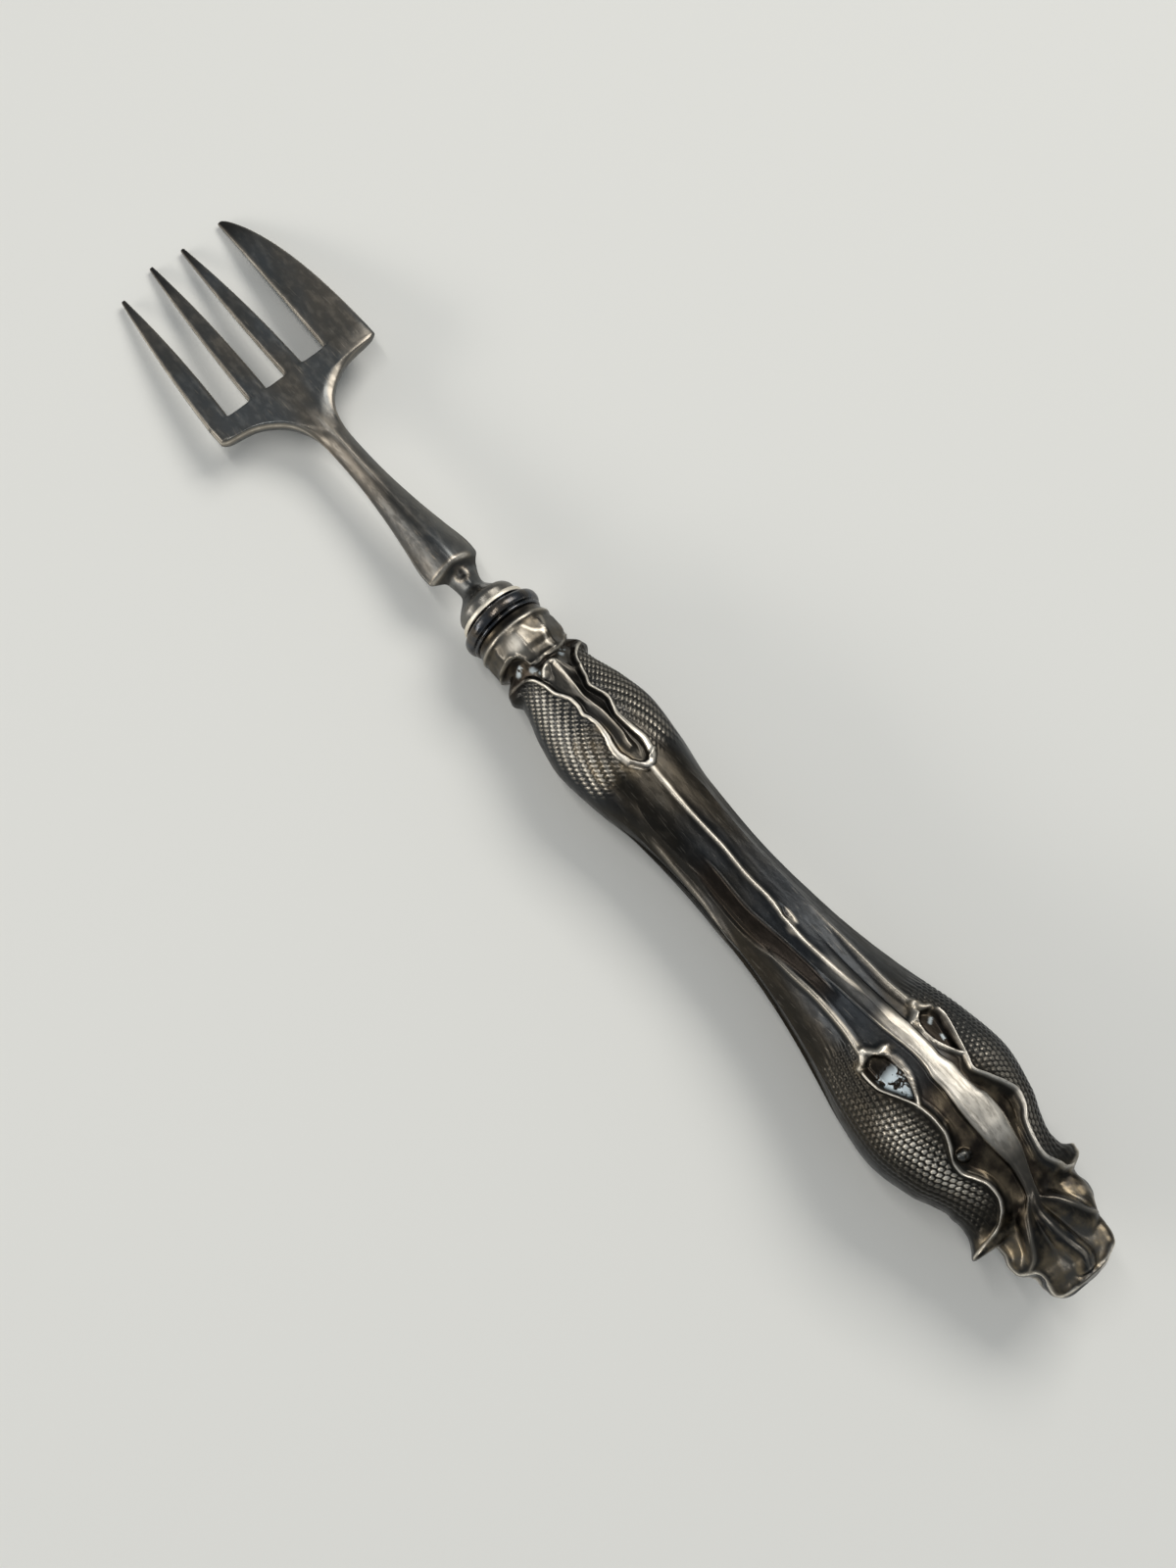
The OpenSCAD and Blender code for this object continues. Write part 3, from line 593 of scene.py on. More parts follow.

# Back half of the handle: thin silver sheet stamped in a die, with petals, pearls, a rib, a leaf and
# a scalloped end, dark in its hollows from tarnish and painted shade, and pale on its high lines from wear
# and painted highlights. The sheet closes on itself.
finial_l = 9
finial_w = 11.4
finial_t = 8.2
end_share = 0.05
lobe_at_share = 0.7
lobe_base_share = 0.84
notch_w = 8.6
throat_at = finial_l * 1.25
throat_w = 11.4
throat_t = 10
bulge_w = 17.6
waist_at = 51.4
waist_w = 9.1
waist_t = 8.6
leaf_tip_at = 64.1
upper_at = 70.5
upper_w = 12.5
upper_t = 10.4
pinch_at = 81.4
pinch_d = 7.9
collar_d = 8.7
sheet_t = 0.6


def between(start, end, first, last, shares):
    return [[mix(start, end, at), mix(first, last, part)] for at, part in shares]


def body_knots(notch, lobe, throat, bulge, waist, upper):
    """Knots of half the body's width or thickness, from the scalloped end to the mouth."""
    whole = (between(0, finial_l, 0, notch, [[end_share, 0.5], [0.13, 0.8], [0.24, 0.93], [0.45, 1]])
             + [[finial_l * lobe_at_share, lobe], [throat_at, throat]]
             + between(throat_at, bulge_at, throat, bulge, [[0.3, 0.35], [0.52, 0.68], [1, 1]])
             + between(bulge_at, waist_at, bulge, waist,
                       [[0.17, 0.15], [0.30, 0.36], [0.43, 0.57], [0.56, 0.74], [0.70, 0.87], [1, 1]])
             + between(waist_at, upper_at, waist, upper, [[0.45, 0.22], [0.75, 0.74], [1, 1]])
             + between(upper_at, pinch_at, upper, pinch_d, [[0.36, 0.28], [0.68, 0.74], [1, 1]])
             + between(pinch_at, handle_l, pinch_d, collar_d, [[0.25, 1], [0.6, 1]])
             + [[handle_l, mouth_d]])
    return [[at, size / 2] for at, size in whole]


body_w_knots = body_knots(notch_w, finial_w * lobe_base_share, throat_w, bulge_w, waist_w, upper_w)
body_t_knots = body_knots(finial_t * lobe_base_share, finial_t, throat_t, bulge_t, waist_t, upper_t)
end_at = finial_l * end_share


def body_half(s, knots):
    """The stamped end is round, so close to its pole the section grows as a root of the distance."""
    return flow(np.maximum(s, end_at), knots) * np.sqrt(np.minimum(s, end_at) / end_at)


# Lines of the ornament, as places along the handle in millimetres and degrees round from its middle
low_rim = [[0, 84], [7, 86], [8.5, 86], [8.8, 70], [9.0, 57], [9.3, 46], [10.1, 32], [11.4, 25], [12.6, 24],
           [13.8, 27.4], [14.9, 31], [15.85, 29.5], [16.9, 25], [17.8, 21], [18.8, 18.3], [20.2, 17.6],
           [21.9, 19], [23.8, 24.5], [24.7, 28], [25.9, 32], [27.7, 33.6], [28.6, 31.5], [29.6, 27],
           [32, 25.7], [35.6, 27], [40, 34], [46.5, 41], [59, 45], [63, 30], [64.2, 10], [65.7, 8.5],
           [67.1, 11.6], [68.2, 10.5], [69.15, 8.2], [70.4, 7.4], [71.8, 9], [72.6, 11.7], [73.6, 10],
           [74.6, 10.6], [75.4, 14.3], [76.4, 20.7], [77.6, 24.4], [78.85, 31], [79.7, 41], [80.2, 56],
           [80.35, 75], [80.6, 86], [82.5, 86], [86.2, 60]]
high_rim = [[0, -82], [8.2, -83], [8.55, -75], [8.85, -61], [9.15, -55], [9.67, -48], [10.3, -41],
            [11.2, -34], [12.2, -32.6], [13.4, -33], [14.8, -35], [16, -40], [17.1, -40.8], [18.4, -35.3],
            [19.5, -29], [20, -26.6], [21.4, -21], [22.7, -24], [24.75, -29.6], [26.2, -34.3],
            [27.15, -36.6], [28.3, -36.9], [29.5, -30], [30.2, -27.4], [32, -27.4], [35.75, -30.7],
            [40, -36], [46.5, -42], [59, -45], [63, -30], [64.2, -14], [65.3, -14], [65.9, -14.2],
            [66.7, -15.5], [67.9, -13.7], [69.1, -12.5], [70.3, -11.7], [71.3, -14.5], [72.6, -18],
            [73.7, -15.6], [74.65, -13.5], [75.7, -18.5], [76.9, -24.4], [78.4, -35], [79.6, -60],
            [80, -72], [80.4, -84], [82.5, -86], [86.2, -60]]
low_rib = [[0, 76], [3.6, 76], [4.2, 68], [4.9, 46.5], [6.4, 33], [7.85, 22], [9, 13], [9.6, 7], [10.7, 3.2],
           [12.5, 0.8], [13.8, 2], [16.4, 4], [18.8, 4], [20.5, 3], [21.8, 2], [23, 2.4], [24.3, 0.6],
           [25.5, 0], [30, 3.5], [36, 8], [46.5, 18], [59, 20], [63, 14], [64.2, 1], [66, 2], [70, 1.5],
           [72.8, 2.5], [76, 4], [78.5, 11], [79.6, 22], [80.4, 40], [82, 45], [86.2, 30]]
high_rib = [[0, -76], [3.0, -80], [3.8, -78], [4.7, -44], [5.9, -31], [7.4, -19], [8.9, -7], [10.8, -13],
            [12.25, -19], [13.8, -22.4], [16.4, -22.6], [18.9, -20.4], [19.7, -17.3], [21.2, -15.6],
            [22.7, -15.6], [23.7, -13.5], [24.4, -12.4], [25.5, -13.2], [30, -14], [36, -15], [46.5, -24],
            [59, -26], [63, -18], [64.2, -11], [66, -9], [70, -8.5], [72.8, -9], [76, -9], [78.5, -16],
            [79.6, -30], [80.4, -42], [82, -45], [86.2, -30]]
mid_line = [[0, 7], [1.2, 4], [2.3, -2], [3.6, 1.5], [5.35, 5.5], [7, 7], [8.5, 4.5], [9.4, -1], [11, -5],
            [14, -10], [18, -9], [22.7, -7], [24.2, -5.5], [25.5, -7.5], [27.6, -6.3], [29.75, -4.3],
            [31.7, -5.1], [33.8, -5.2], [36, -3.3], [38.4, -1.9], [41.2, 0], [43.5, -1.2], [46.6, -4.6],
            [49.4, -3], [53.3, -5.4], [58.4, -3.6], [64.1, -4], [67.2, -2.5], [68.8, -5], [70.1, -4.8],
            [71.45, -4.5], [72.8, -2.7], [74.2, -0.8], [75.5, -2.3], [76.6, -3.5], [78.1, -4.7], [79.4, -2],
            [82, 0], [86.2, 0]]

# Rows of the grid are close where the ornament is, and its columns follow the ornament's lines
row_counts = [24, 196, 16, 32, 8, 188, 16]
row_ends = [0, 2.5, 31, 36, 62, 63.6, 82.3, handle_l]
row_places = np.concatenate([np.linspace(a, b, n, endpoint=False) for a, b, n in
                             zip(row_ends[:-1], row_ends[1:], row_counts)] + [[handle_l]])
end_rows = np.arange(row_counts[0] + 1)
row_places[end_rows] = row_ends[1] * (end_rows / row_counts[0]) ** 1.5
line_knots = [high_rim, high_rib, mid_line, low_rib, low_rim]
lines = np.array([flow(row_places, knots) for knots in line_knots])
least_room = 1.2
for i in range(1, len(lines)):
    lines[i] = np.maximum(lines[i], lines[i - 1] + least_room)
seam_line = np.full(len(row_places), 90.0)
breaks = np.vstack([-seam_line, np.clip(lines, -88, 88), seam_line])
column_counts = [60, 18, 18, 18, 18, 60]
shares = [np.linspace(0, 1, count, endpoint=False) for count in column_counts]
shares[1] = shares[1] ** 1.4
shares[4] = 1 - (1 - shares[4]) ** 1.4
stations = np.concatenate([band + share for band, share in enumerate(shares)] + [[len(shares)]])
angles = np.array([np.interp(stations, np.arange(len(breaks)), row_breaks) for row_breaks in breaks.T])
places = np.repeat(row_places[:, None], len(stations), axis=1)


def on_body(s, degrees, height=0.0):
    """Point of the body at a place along it and an angle round from the middle of the back."""
    a = np.radians(degrees)
    return np.stack([s + 0 * a, (body_half(s, body_w_knots) + height) * np.sin(a),
                     (body_half(s, body_t_knots) + height) * np.cos(a)], axis=-1)


bare = on_body(places, angles)
arcs = np.cumsum(np.linalg.norm(np.diff(bare, axis=1, prepend=bare[:, :1]), axis=2), axis=1)
arcs -= np.array([[np.interp(0, row_angles, row_arcs)] for row_angles, row_arcs in zip(angles, arcs)])
line_step = 0.03
line_reach = 2
angle_reach = 30
far_away = 9.0


def distance_to(*body_lines):
    """Distance of each grid point from the nearest of some lines, worked out only close to them."""
    found = np.full(places.shape, far_away)
    for line in body_lines:
        at, degrees = np.array(line, float).T
        length = np.concatenate([[0], np.cumsum(np.hypot(np.diff(at), np.diff(degrees) * 0.12))])
        fine = np.linspace(0, length[-1], int(length[-1] / line_step) + 2)
        path = on_body(np.interp(fine, length, at), np.interp(fine, length, degrees))
        tree = kdtree.KDTree(len(path))
        for i, point in enumerate(path):
            tree.insert(point, i)
        tree.balance()
        near = ((places > at.min() - line_reach) & (places < at.max() + line_reach)
                & (angles > degrees.min() - angle_reach) & (angles < degrees.max() + angle_reach))
        found[near] = np.minimum(found[near], [tree.find(point)[2] for point in bare[near]])
    return found


def part_of(knots, start, end):
    """The stretch of a line between two places, in steps short enough to follow its curve."""
    steps = np.linspace(start, end, max(int((end - start) / 0.15), 4))
    return np.stack([steps, flow(steps, knots)], axis=1)


def along(start, end, soft):
    """Share that is 1 on a stretch of the handle and fades out past both of its ends."""
    return window(places, start, end, soft)


def past(start, end):
    """Share that grows from 0 to 1 between two places along the handle."""
    return smooth(places, start, end)


def from_spot(at, degrees):
    """Distance of each grid point from a spot on the slim part, where a degree is about 0.075 mm."""
    return np.hypot(places - at, (angles - degrees) * 0.075)


high_rim_at, high_rib_at, mid_at, low_rib_at, low_rim_at = [flow(places, knots) for knots in line_knots]
low_eye = [[28.1, 17.5], [27.7, 14], [27, 12], [26.2, 11.2], [25.3, 11.5], [24.4, 12.6], [23.6, 14.3],
           [22.8, 16.6], [22.0, 19.3]]
high_eye = [[28.6, -24], [28.2, -20], [27.6, -17.6], [26.8, -16.2], [25.9, -16.2], [25.0, -17.8],
            [24.2, -20], [23.4, -22.8], [22.9, -25]]
low_bracket = [[28.2, 12], [28.2, 17.2], [28.7, 21], [29.3, 25.2], [28.75, 28.6], [28.35, 31], [28.3, 34.5]]
high_bracket = [[28.3, -16.5], [28.7, -22.3], [29.2, -25.4], [29.6, -27.4], [29, -29.6], [28.6, -33],
                [28.4, -36]]
rim_away = distance_to(part_of(low_rim, 8.5, 27.9), part_of(high_rim, 8.85, 28.2))
eye_away = distance_to(low_eye, high_eye)
bracket_away = distance_to(low_bracket, high_bracket)
leaf_tip = [[66.4, 10], [65.7, 8.5], [64.95, 4], [64.55, -1], [64.55, -6.6], [65.0, -11.5], [65.9, -14.2]]
leaf_away = distance_to(part_of(low_rim, 66, 80.5), leaf_tip, part_of(high_rim, 65.8, 80.3))
petal_part = along(8.6, 27.8, 0.4)
between_rims = (angles < low_rim_at) & (angles > high_rim_at)
inside = between_rims & (places < 28.3)
tip_places, tip_angles = np.array(leaf_tip[::-1]).T
leaf_inside = between_rims & (places > np.interp(angles, tip_angles, tip_places)) & (places < 80.5)
in_low_eye = ((angles > flow(places, sorted(low_eye))) & (angles < low_rim_at)
              & (places > 21.9) & (places < 28.3))
in_high_eye = ((angles < flow(places, sorted(high_eye))) & (angles > high_rim_at)
               & (places > 22.9) & (places < 28.5))
in_eye = in_low_eye | in_high_eye

# Petals: the pearled field rises to a thin crest, and a steep lip falls from it to the valley
crest_h = 0.46
field_rise = 0.2
valley_depth = 0.42
crest = crest_h * ridge(rim_away, 0.21) * petal_part
valley_part = along(9.0, 21.5, 3.0)
height = crest + np.where(inside, -valley_depth * smooth(rim_away, 0.1, 0.9) * valley_part,
                          field_rise * np.clip(1 - rim_away / 1.3, 0, 1) ** 2 * petal_part)
# Eyes at the petals' tips: a deep drop-shaped pit, closed by an inner rim and a spiked bracket
eye_rim_h = 0.34
pit_depth = 0.5
eye_rim = eye_rim_h * (ridge(eye_away, 0.24) + ridge(bracket_away, 0.36))
pit_edge = np.minimum.reduce([eye_away, rim_away, bracket_away])
height += np.maximum(eye_rim - crest * 0.8, 0)
height -= pit_depth * smooth(pit_edge, 0.12, 0.5) * in_eye
# Second lines: a narrow ledge inside each petal's rim, the curl of the upper petal, and a dark bead
low_ledge = [[19.2, 14.5], [18.3, 17], [17, 22], [15.2, 26], [13.6, 20.5], [12.3, 20.3], [10.8, 26],
             [9.8, 38]]
high_ledge = [[20.2, -22.5], [18.8, -27], [17, -32], [15, -29], [13, -27.5], [11.4, -26], [10.2, -31],
              [9.4, -45]]
ledge_h = 0.13
height += ledge_h * ridge(distance_to(low_ledge, high_ledge), 0.2)
curl_away = distance_to([[8.9, -60], [8.85, -66], [9.0, -72], [9.3, -78], [9.8, -82], [10.3, -83]])
curl_h = 0.42
height += curl_h * ridge(curl_away, 0.24)
bead_h = 0.95
bead_r = 0.68
bead_away = distance_to([[16.0, 20.7], [16.02, 20.8]])
height += bead_h * np.sqrt(np.clip(1 - (bead_away / bead_r) ** 2, 0, 1))
# Rib: a broad band between its two edges, which grows out of the ridge and runs down to the end
rib_middle = (low_rib_at + high_rib_at) / 2
rib_half = np.maximum((low_rib_at - high_rib_at) / 2, 1)
rib_height = flow(places, [[7.6, 0], [8.8, 0.3], [10, 0.52], [11.5, 0.7], [13.5, 0.85], [20, rib_h],
                           [22.5, 0.66], [24.5, 0.45], [28, 0.32], [34, 0.24], [42, 0]])
rib_round = np.clip(1 - (np.abs(angles - rib_middle) / rib_half) ** 4, 0, 1) ** 0.6
height += rib_height * rib_round
# Leaf: the same build, with a broad flat rim near its tip and a dark hollow with a stem in it
leaf_crest_h = 0.24
leaf_rim_w = mix(0.20, 0.52, 1 - past(66.5, 72))
height += leaf_crest_h * np.exp(-(leaf_away / leaf_rim_w) ** 4)
spur_away = distance_to([[64.9, -11], [65.3, -18.5]])
spur_h = 0.3
height += spur_h * ridge(spur_away, 0.2)
notch_away = distance_to([[65.4, 10], [64.5, 4], [64.0, 0]])
notch_depth = 0.3
height -= notch_depth * ridge(notch_away, 0.16)
stem_away = distance_to(np.concatenate([part_of(mid_line, 66.8, 77.4), [
    [78.2, -4.8], [79.05, -5.5], [79.6, -3], [79.75, 1], [79.65, 5], [79.4, 9], [79.1, 14], [78.5, 20]]]))
leaf_share = stem_away / (stem_away + leaf_away + 0.01)
leaf_hollow = (0.12 + 0.58 * leaf_share) * smooth(leaf_away, 0.08, 0.42)
height += leaf_inside * (mix(0.22, 0.36, past(74, 78)) * np.exp(-stem_away / 0.26) - leaf_hollow)
branch_h = 0.3
branch = [[79.6, -3], [79.3, -9], [78.4, -14], [77.6, -19], [77.2, -24]]
height += branch_h * np.exp(-distance_to(branch) / 0.3)
# Collar: a facetted band with a scalloped lower edge that stands over dark recesses
recess_depth = 0.5
facet_depth = 0.22
collar_edge = flow(angles, [[-90, 81.8], [-63, 81.3], [-47, 80.6], [-26, 80.25], [-10, 80.2], [-2, 80.3],
                            [10, 80.2], [22, 80.5], [25, 81.2], [29, 82.0], [43, 82.5], [68, 82.4],
                            [90, 82.2]])
over_edge = places - collar_edge
recess_part = past(79.2, 80.2) * (1 - smooth(over_edge, -0.25, 0.05))
height = np.minimum(height, mix(height, -recess_depth, recess_part))
height += 0.1 * ridge(over_edge, 0.25)
facet = np.mod((angles - 8) / 40, 1)
height -= facet_depth * smooth(over_edge, 0, 0.8) * (1 - past(84.0, 84.6)) * 4 * facet * (1 - facet)
facet_edge = distance_to([[84.2, -6], [83.2, -14], [82.6, -26], [83.4, -36], [84.2, -42]],
                         [[82.6, -26], [81.5, -22], [80.4, -24]])
mouth_ring_at = 85.0
height += 0.16 * ridge(places - mouth_ring_at, 0.3) - 0.14 * ridge(places - mouth_ring_at + 0.5, 0.25)
# Waist: five soft ridges with hollows between them
flute_depth = 0.30
flute = np.minimum.reduce([np.abs(angles - line) for line in (mid_at, low_rim_at, high_rim_at)]
                          + [np.abs(np.abs(angles) - 72)])
height -= flute_depth * along(33, 56, 8) * (1 - np.exp(-flute / 9.0)) * (np.abs(angles) < 89)
mid_ridge = distance_to(part_of(mid_line, 24.2, 64))
mid_ridge_h = 0.14
height += mid_ridge_h * along(40, 63.5, 2.5) * ridge(mid_ridge, 0.6)
stalk_away = distance_to(part_of(low_rim, 29.4, 47), part_of(high_rim, 29.4, 47))
stalk_part = (1 - past(34, 46)) * past(28.9, 29.6)
stalk_h = 0.28
height += stalk_h * stalk_part * ridge(stalk_away, 0.45)
low_edge_away = distance_to([[60, 58], [57.5, 61], [55.6, 64], [52.6, 67], [50, 69], [47.6, 75], [45, 80]])
low_edge_part = along(47, 57, 3)
low_edge_h = 0.2
height += low_edge_h * low_edge_part * ridge(low_edge_away, 0.5)
# Worn-in groove beside the middle ridge, and a nick in the ridge itself
groove_depth = 0.26
nick_depth = 0.7
groove_middle = flow(places, [[34, 17], [38, 19], [41.5, 25], [44.5, 33], [47.5, 38], [50, 37], [52.5, 34],
                              [56, 32]])
groove_half = flow(places, [[34, 7], [40, 11], [46, 18], [50, 18], [56, 12]])
groove = along(37, 52, 3) * (1 - smooth(np.abs(angles - groove_middle) / groove_half, 0.55, 1))
nick_away = from_spot(43.8, -6)
nick = 1 - smooth(nick_away, 0.25, 0.5)
height -= groove_depth * groove + nick_depth * nick
# Scalloped end: four cups between three thin ridges, with rolled lips at the edge
end_part = 1 - past(8.4, 10.0)
low_lips = [[7.9, 84], [6.8, 82], [5.4, 86], [4.6, 84], [4.2, 74], [3.9, 62], [3.2, 63], [2.5, 66],
            [1.7, 78], [1.1, 84], [0.7, 80], [0.5, 55], [0.42, 30], [0.42, 6]]
high_lips = [[0.42, 6], [0.3, -20], [0.42, -42], [0.9, -58], [1.8, -64], [2.8, -66], [4.0, -70],
             [4.6, -66], [5.5, -64], [6.8, -65], [7.8, -70]]
end_ridges = distance_to(part_of(low_rib, 4.0, 9.4), part_of(mid_line, 1.0, 9.8),
                         part_of(high_rib, 3.8, 8.6))
lips_away = distance_to(low_lips, high_lips)
cup_away = np.minimum(end_ridges, lips_away)
low_lip_at = np.interp(places, [0, 0.5, 0.7, 1.1, 1.7, 2.5, 3.2, 3.9, 4.2, 4.6, 5.4, 8],
                       [0, 55, 78, 82, 76, 65, 62, 61, 72, 82, 84, 82])
high_lip_at = np.interp(places, [0, 0.35, 0.7, 1.5, 3.2, 4.4, 6, 8], [0, 30, 54, 61, 66, 63, 62, 74])
above_lips = smooth(np.where(angles > 0, low_lip_at, high_lip_at) - np.abs(angles), 0, 6)
end_ridge_h = 0.34
lip_h = 0.5
cup_depth = 1.0
quarter_h = 0.35
height += end_part * past(0.05, 0.5) * (
    end_ridge_h * np.exp(-end_ridges / 0.3) + lip_h * ridge(lips_away, 0.42)
    - cup_depth * smooth(cup_away, 0.3, 1.8) * above_lips
    + quarter_h * np.sin(np.radians(2 * np.abs(angles))) ** 2 * past(0, 1.5))
# Outline seen from above: lobes, notches and the two horns of the petals, different on either side
low_outline = [[0, 0.0], [0.12, 2.59], [0.57, 3.5], [1.54, 4.1], [2.34, 4.1], [2.9, 3.7], [3.3, 3.6],
               [3.7, 4.0], [4.35, 5.0], [4.95, 5.35], [5.82, 5.4], [6.94, 5.0], [7.85, 4.95],
               [8.05, 6.2], [8.2, 7.3], [8.44, 7.5], [9.02, 7.04], [10.31, 6.36], [11.58, 6.2],
               [13.3, 6.6]]
high_outline = [[0, 0.0], [0.18, 1.71], [0.70, 2.82], [1.42, 3.65], [2.11, 3.95], [3.17, 4.10],
                [4.11, 4.12], [4.82, 4.69], [5.92, 5.52], [6.87, 5.68], [7.81, 5.5], [8.45, 5.6],
                [8.72, 6.1], [9.05, 6.7], [9.5, 7.02], [10.1, 7.02], [11.2, 6.3], [12.4, 6.2], [13.3, 6.6]]
outline = np.where(angles > 0, flow(places, low_outline), flow(places, high_outline))
outline_part = smooth(np.abs(angles), 45, 86) * (1 - past(12.2, 13.3))
height = mix(height, outline - body_half(places, body_w_knots), outline_part)
height += (0.3 * ridge(curl_away, 0.24) - 0.15 * ridge(places - 9.6, 0.8) * (angles < 0)) * outline_part
horn_reach = 1.3
horn_half = 1.73
horn_at = mix(leaf_tip_at, pinch_at, 0.93)
horn_share = np.clip(np.abs(places - horn_at) / horn_half, 0, 1)
height += horn_reach * (1 - horn_share ** 2) ** 2 * smooth(np.abs(angles), 50, 85)
deepest = 0.52
height = np.where(places > 10, np.maximum(height, -deepest), height)
# Pearls: close rows of tiny oval domes on the fields outside the rims
lower_field = (along(12.0, 29.5, 3) * ~inside * smooth(rim_away, 0.35, 0.8)
               * (1 - smooth(np.abs(angles), 62, 82)) * smooth(bracket_away, 0.4, 0.8)
               * ((angles > low_rim_at) | (angles < high_rim_at)))
upper_field = (along(67, 78.5, 3) * ~leaf_inside * smooth(leaf_away, leaf_rim_w, leaf_rim_w + 0.3)
               * (1 - smooth(np.abs(angles), 60, 78)))


def dome(across, lengthwise, half_across):
    """A dome in each cell of a pattern: 0 between the domes and 1 at their tops."""
    u = across - np.round(across)
    v = lengthwise - np.round(lengthwise)
    return np.clip(1 - (u / half_across) ** 2 - (v / 0.42) ** 2, 0, 1) ** 0.5


lower_gap = 0.66
lower_pitch = 0.60
upper_gap = 1.1
upper_pitch = 0.4228
pearl_h = 0.14
seam_arcs = np.where(arcs > 0, arcs[:, -1:], -arcs[:, :1])
lower_across = (seam_arcs - np.abs(arcs)) / lower_gap
lower_along = places / lower_pitch + 0.5 * np.mod(np.round(lower_across), 2)
bend = 0.25 * places + 0.047 * np.clip(places - 67, 0, 7) ** 2 + 0.66 * np.clip(places - 74, 0, 9)
upper_across = (np.abs(arcs) + bend) / upper_gap
upper_along = (0.66 * places - 0.64 * np.abs(arcs)) / upper_pitch
pearls = (lower_field * dome(lower_across, lower_along, 0.42)
          + upper_field * dome(upper_across, upper_along, 0.36))
column_line = upper_field * ridge(np.abs(upper_across - np.round(upper_across)) - 0.5, 0.06)
height += pearl_h * pearls + 0.05 * column_line

# Rubbed lines and painted highlight lines (the stalks, the low edge, the middle ridge, the lips on their lit
# sides, the facet edges and the nick's rim): the distance from the line, how wide it is pale, how pale, and
# on which part
lip_shine = 0.35 + 0.65 * np.maximum(window(angles, 50, 90, 6), window(angles, -60, -25, 6))
end_fold = [[0.7, -20], [0.7, -42], [1.1, -52]]
rubbed_and_lit_lines = (
    (rim_away, 0.15, 0.95, petal_part), (eye_away, 0.2, 0.9, 1), (bracket_away, 0.3, 0.95, 1),
    (stalk_away, 0.26, 0.62, stalk_part), (low_edge_away, 0.3, 0.28, low_edge_part),
    (nick_away - 0.55, 0.12, 0.6, 1), (from_spot(42.7, 1.7), 0.3, 0.8, 1),
    (mid_ridge, 0.22, 0.75, along(36, 63.5, 4.0)), (curl_away, 0.2, 0.8, 1),
    (end_ridges, 0.2, 0.36, end_part), (lips_away, 0.3, 0.95, end_part * lip_shine),
    (distance_to(end_fold), 0.32, 0.9, 1), (spur_away, 0.2, 0.8, 1),
    (stem_away, mix(0.1, 0.24, past(74, 79)), mix(0.5, 0.95, past(72, 77)), leaf_inside),
    (facet_edge, 0.2, 0.7, 1), (over_edge - 0.1, 0.12, 0.6, 1), (from_spot(83.2, 20), 1.6, 1, 1),
    (places - mouth_ring_at, 0.2, 0.7, 1))
rubbed_and_lit_line = np.maximum.reduce([how_far * ridge(away, how_wide) * part
                                 for away, how_wide, how_far, part in rubbed_and_lit_lines])
# Rubbed places and painted highlights: painted highlights on the pearls where the light catches them,
# painted sheen on patches of the rib and a lighter bead; rubbed pale on the leaf's rim and the cups
flank_shine = ridge(np.abs(angles) - 42, mix(13, 24, past(40, 60))) * np.where(angles > 0, 1, 0.55)
pearl_shine = flank_shine * (along(15, 21, 5) + along(67, 77, 3)) * smooth(pearls, 0.1, 0.5)
leaf_shine = np.exp(-((leaf_away - leaf_rim_w * 0.4) / (leaf_rim_w * 0.7)) ** 4)
rib_shine = (0.80 * along(15.5, 21, 3) + 0.68 * along(23, 29, 3) + 0.12 * along(33, 37, 3)
             + 0.24 * along(9, 13, 2))
wear_and_highlight_mask = np.maximum.reduce([
    rubbed_and_lit_line, 0.05 * np.clip(lower_field + upper_field, 0, 1) + 0.07 * pearls, 0.25 * column_line,
    0.85 * pearl_shine, 0.9 * leaf_shine * np.where(leaf_inside, ridge(leaf_away, 0.12), 1),
    smooth(rib_round, 0.1, 0.7) * rib_shine, 0.16 * leaf_inside * smooth(leaf_away, 0.15, 0.35),
    0.12 * (bead_away < 0.6), 0.24 * (1 - past(7.5, 9.0)) * smooth(cup_away, 0.5, 1.2) * above_lips,
    0.13 * smooth(over_edge, -0.05, 0.15) * (1 - past(84.3, 84.7))])
# Darkening: tarnish in the valleys beside the rib, on the leaf's sides and in the grooves; painted shade in
# the eyes, round the foot of the bead, in the leaf's notch and in the nick; tarnish and painted shade in the
# recesses under the collar; and a dark band at the mouth
tarnish_and_shade_mask = np.maximum.reduce([
    inside * smooth(rim_away, 0.3, 0.9) * (1 - np.clip(rib_height, 0, 1) * rib_round) * valley_part,
    0.3 * leaf_inside * smooth(leaf_share, 0.5, 0.8) * smooth(leaf_away, 0.2, 0.4), 0.8 * in_eye,
    ridge(bead_away - 0.8, 0.2), ridge(notch_away, 0.18), recess_part, nick, groove, 0.8 * past(85.3, 85.5)])
# Painted pale reflection in the lower eye, painted glints of it in the other hollows and on the bead, and
# brown warmth on broad places
painted_reflection_mask = smooth(rim_away, 0.2, 0.3) * smooth(eye_away, 0.3, 0.6) * in_low_eye * (1 - past(25.6, 26.9))
glint_w = mix(0.16, 0.3, past(50, 60))
for glint in ([[81.3, 43], [81.0, 55]], [[79.3, 23], [80.2, 28]], [[79.6, -27], [80.1, -40]],
              [[25.2, -26], [25.6, -27]], [[27.2, -28], [27.5, -32]]):
    painted_reflection_mask += 0.6 * np.exp(-(distance_to(glint) / glint_w) ** 4)
painted_reflection_mask += 0.1 * (bead_away < 0.6)
warm_mask = np.maximum.reduce([
    (1 - past(8, 10.5)) * smooth(cup_away, 0.2, 0.8) * above_lips, 0.7 * ridge(bracket_away, 0.7),
    0.5 * along(65.5, 70, 2) * window(angles, 8, 42, 10), 0.25 * past(80, 82),
    0.35 * along(9, 21, 2) * inside * smooth(rim_away, 0.2, 0.6) * (1 - rib_round)])
skin = on_body(places, angles, height)
skin[:, [0, -1], 2] = 0
skin[0] = 0


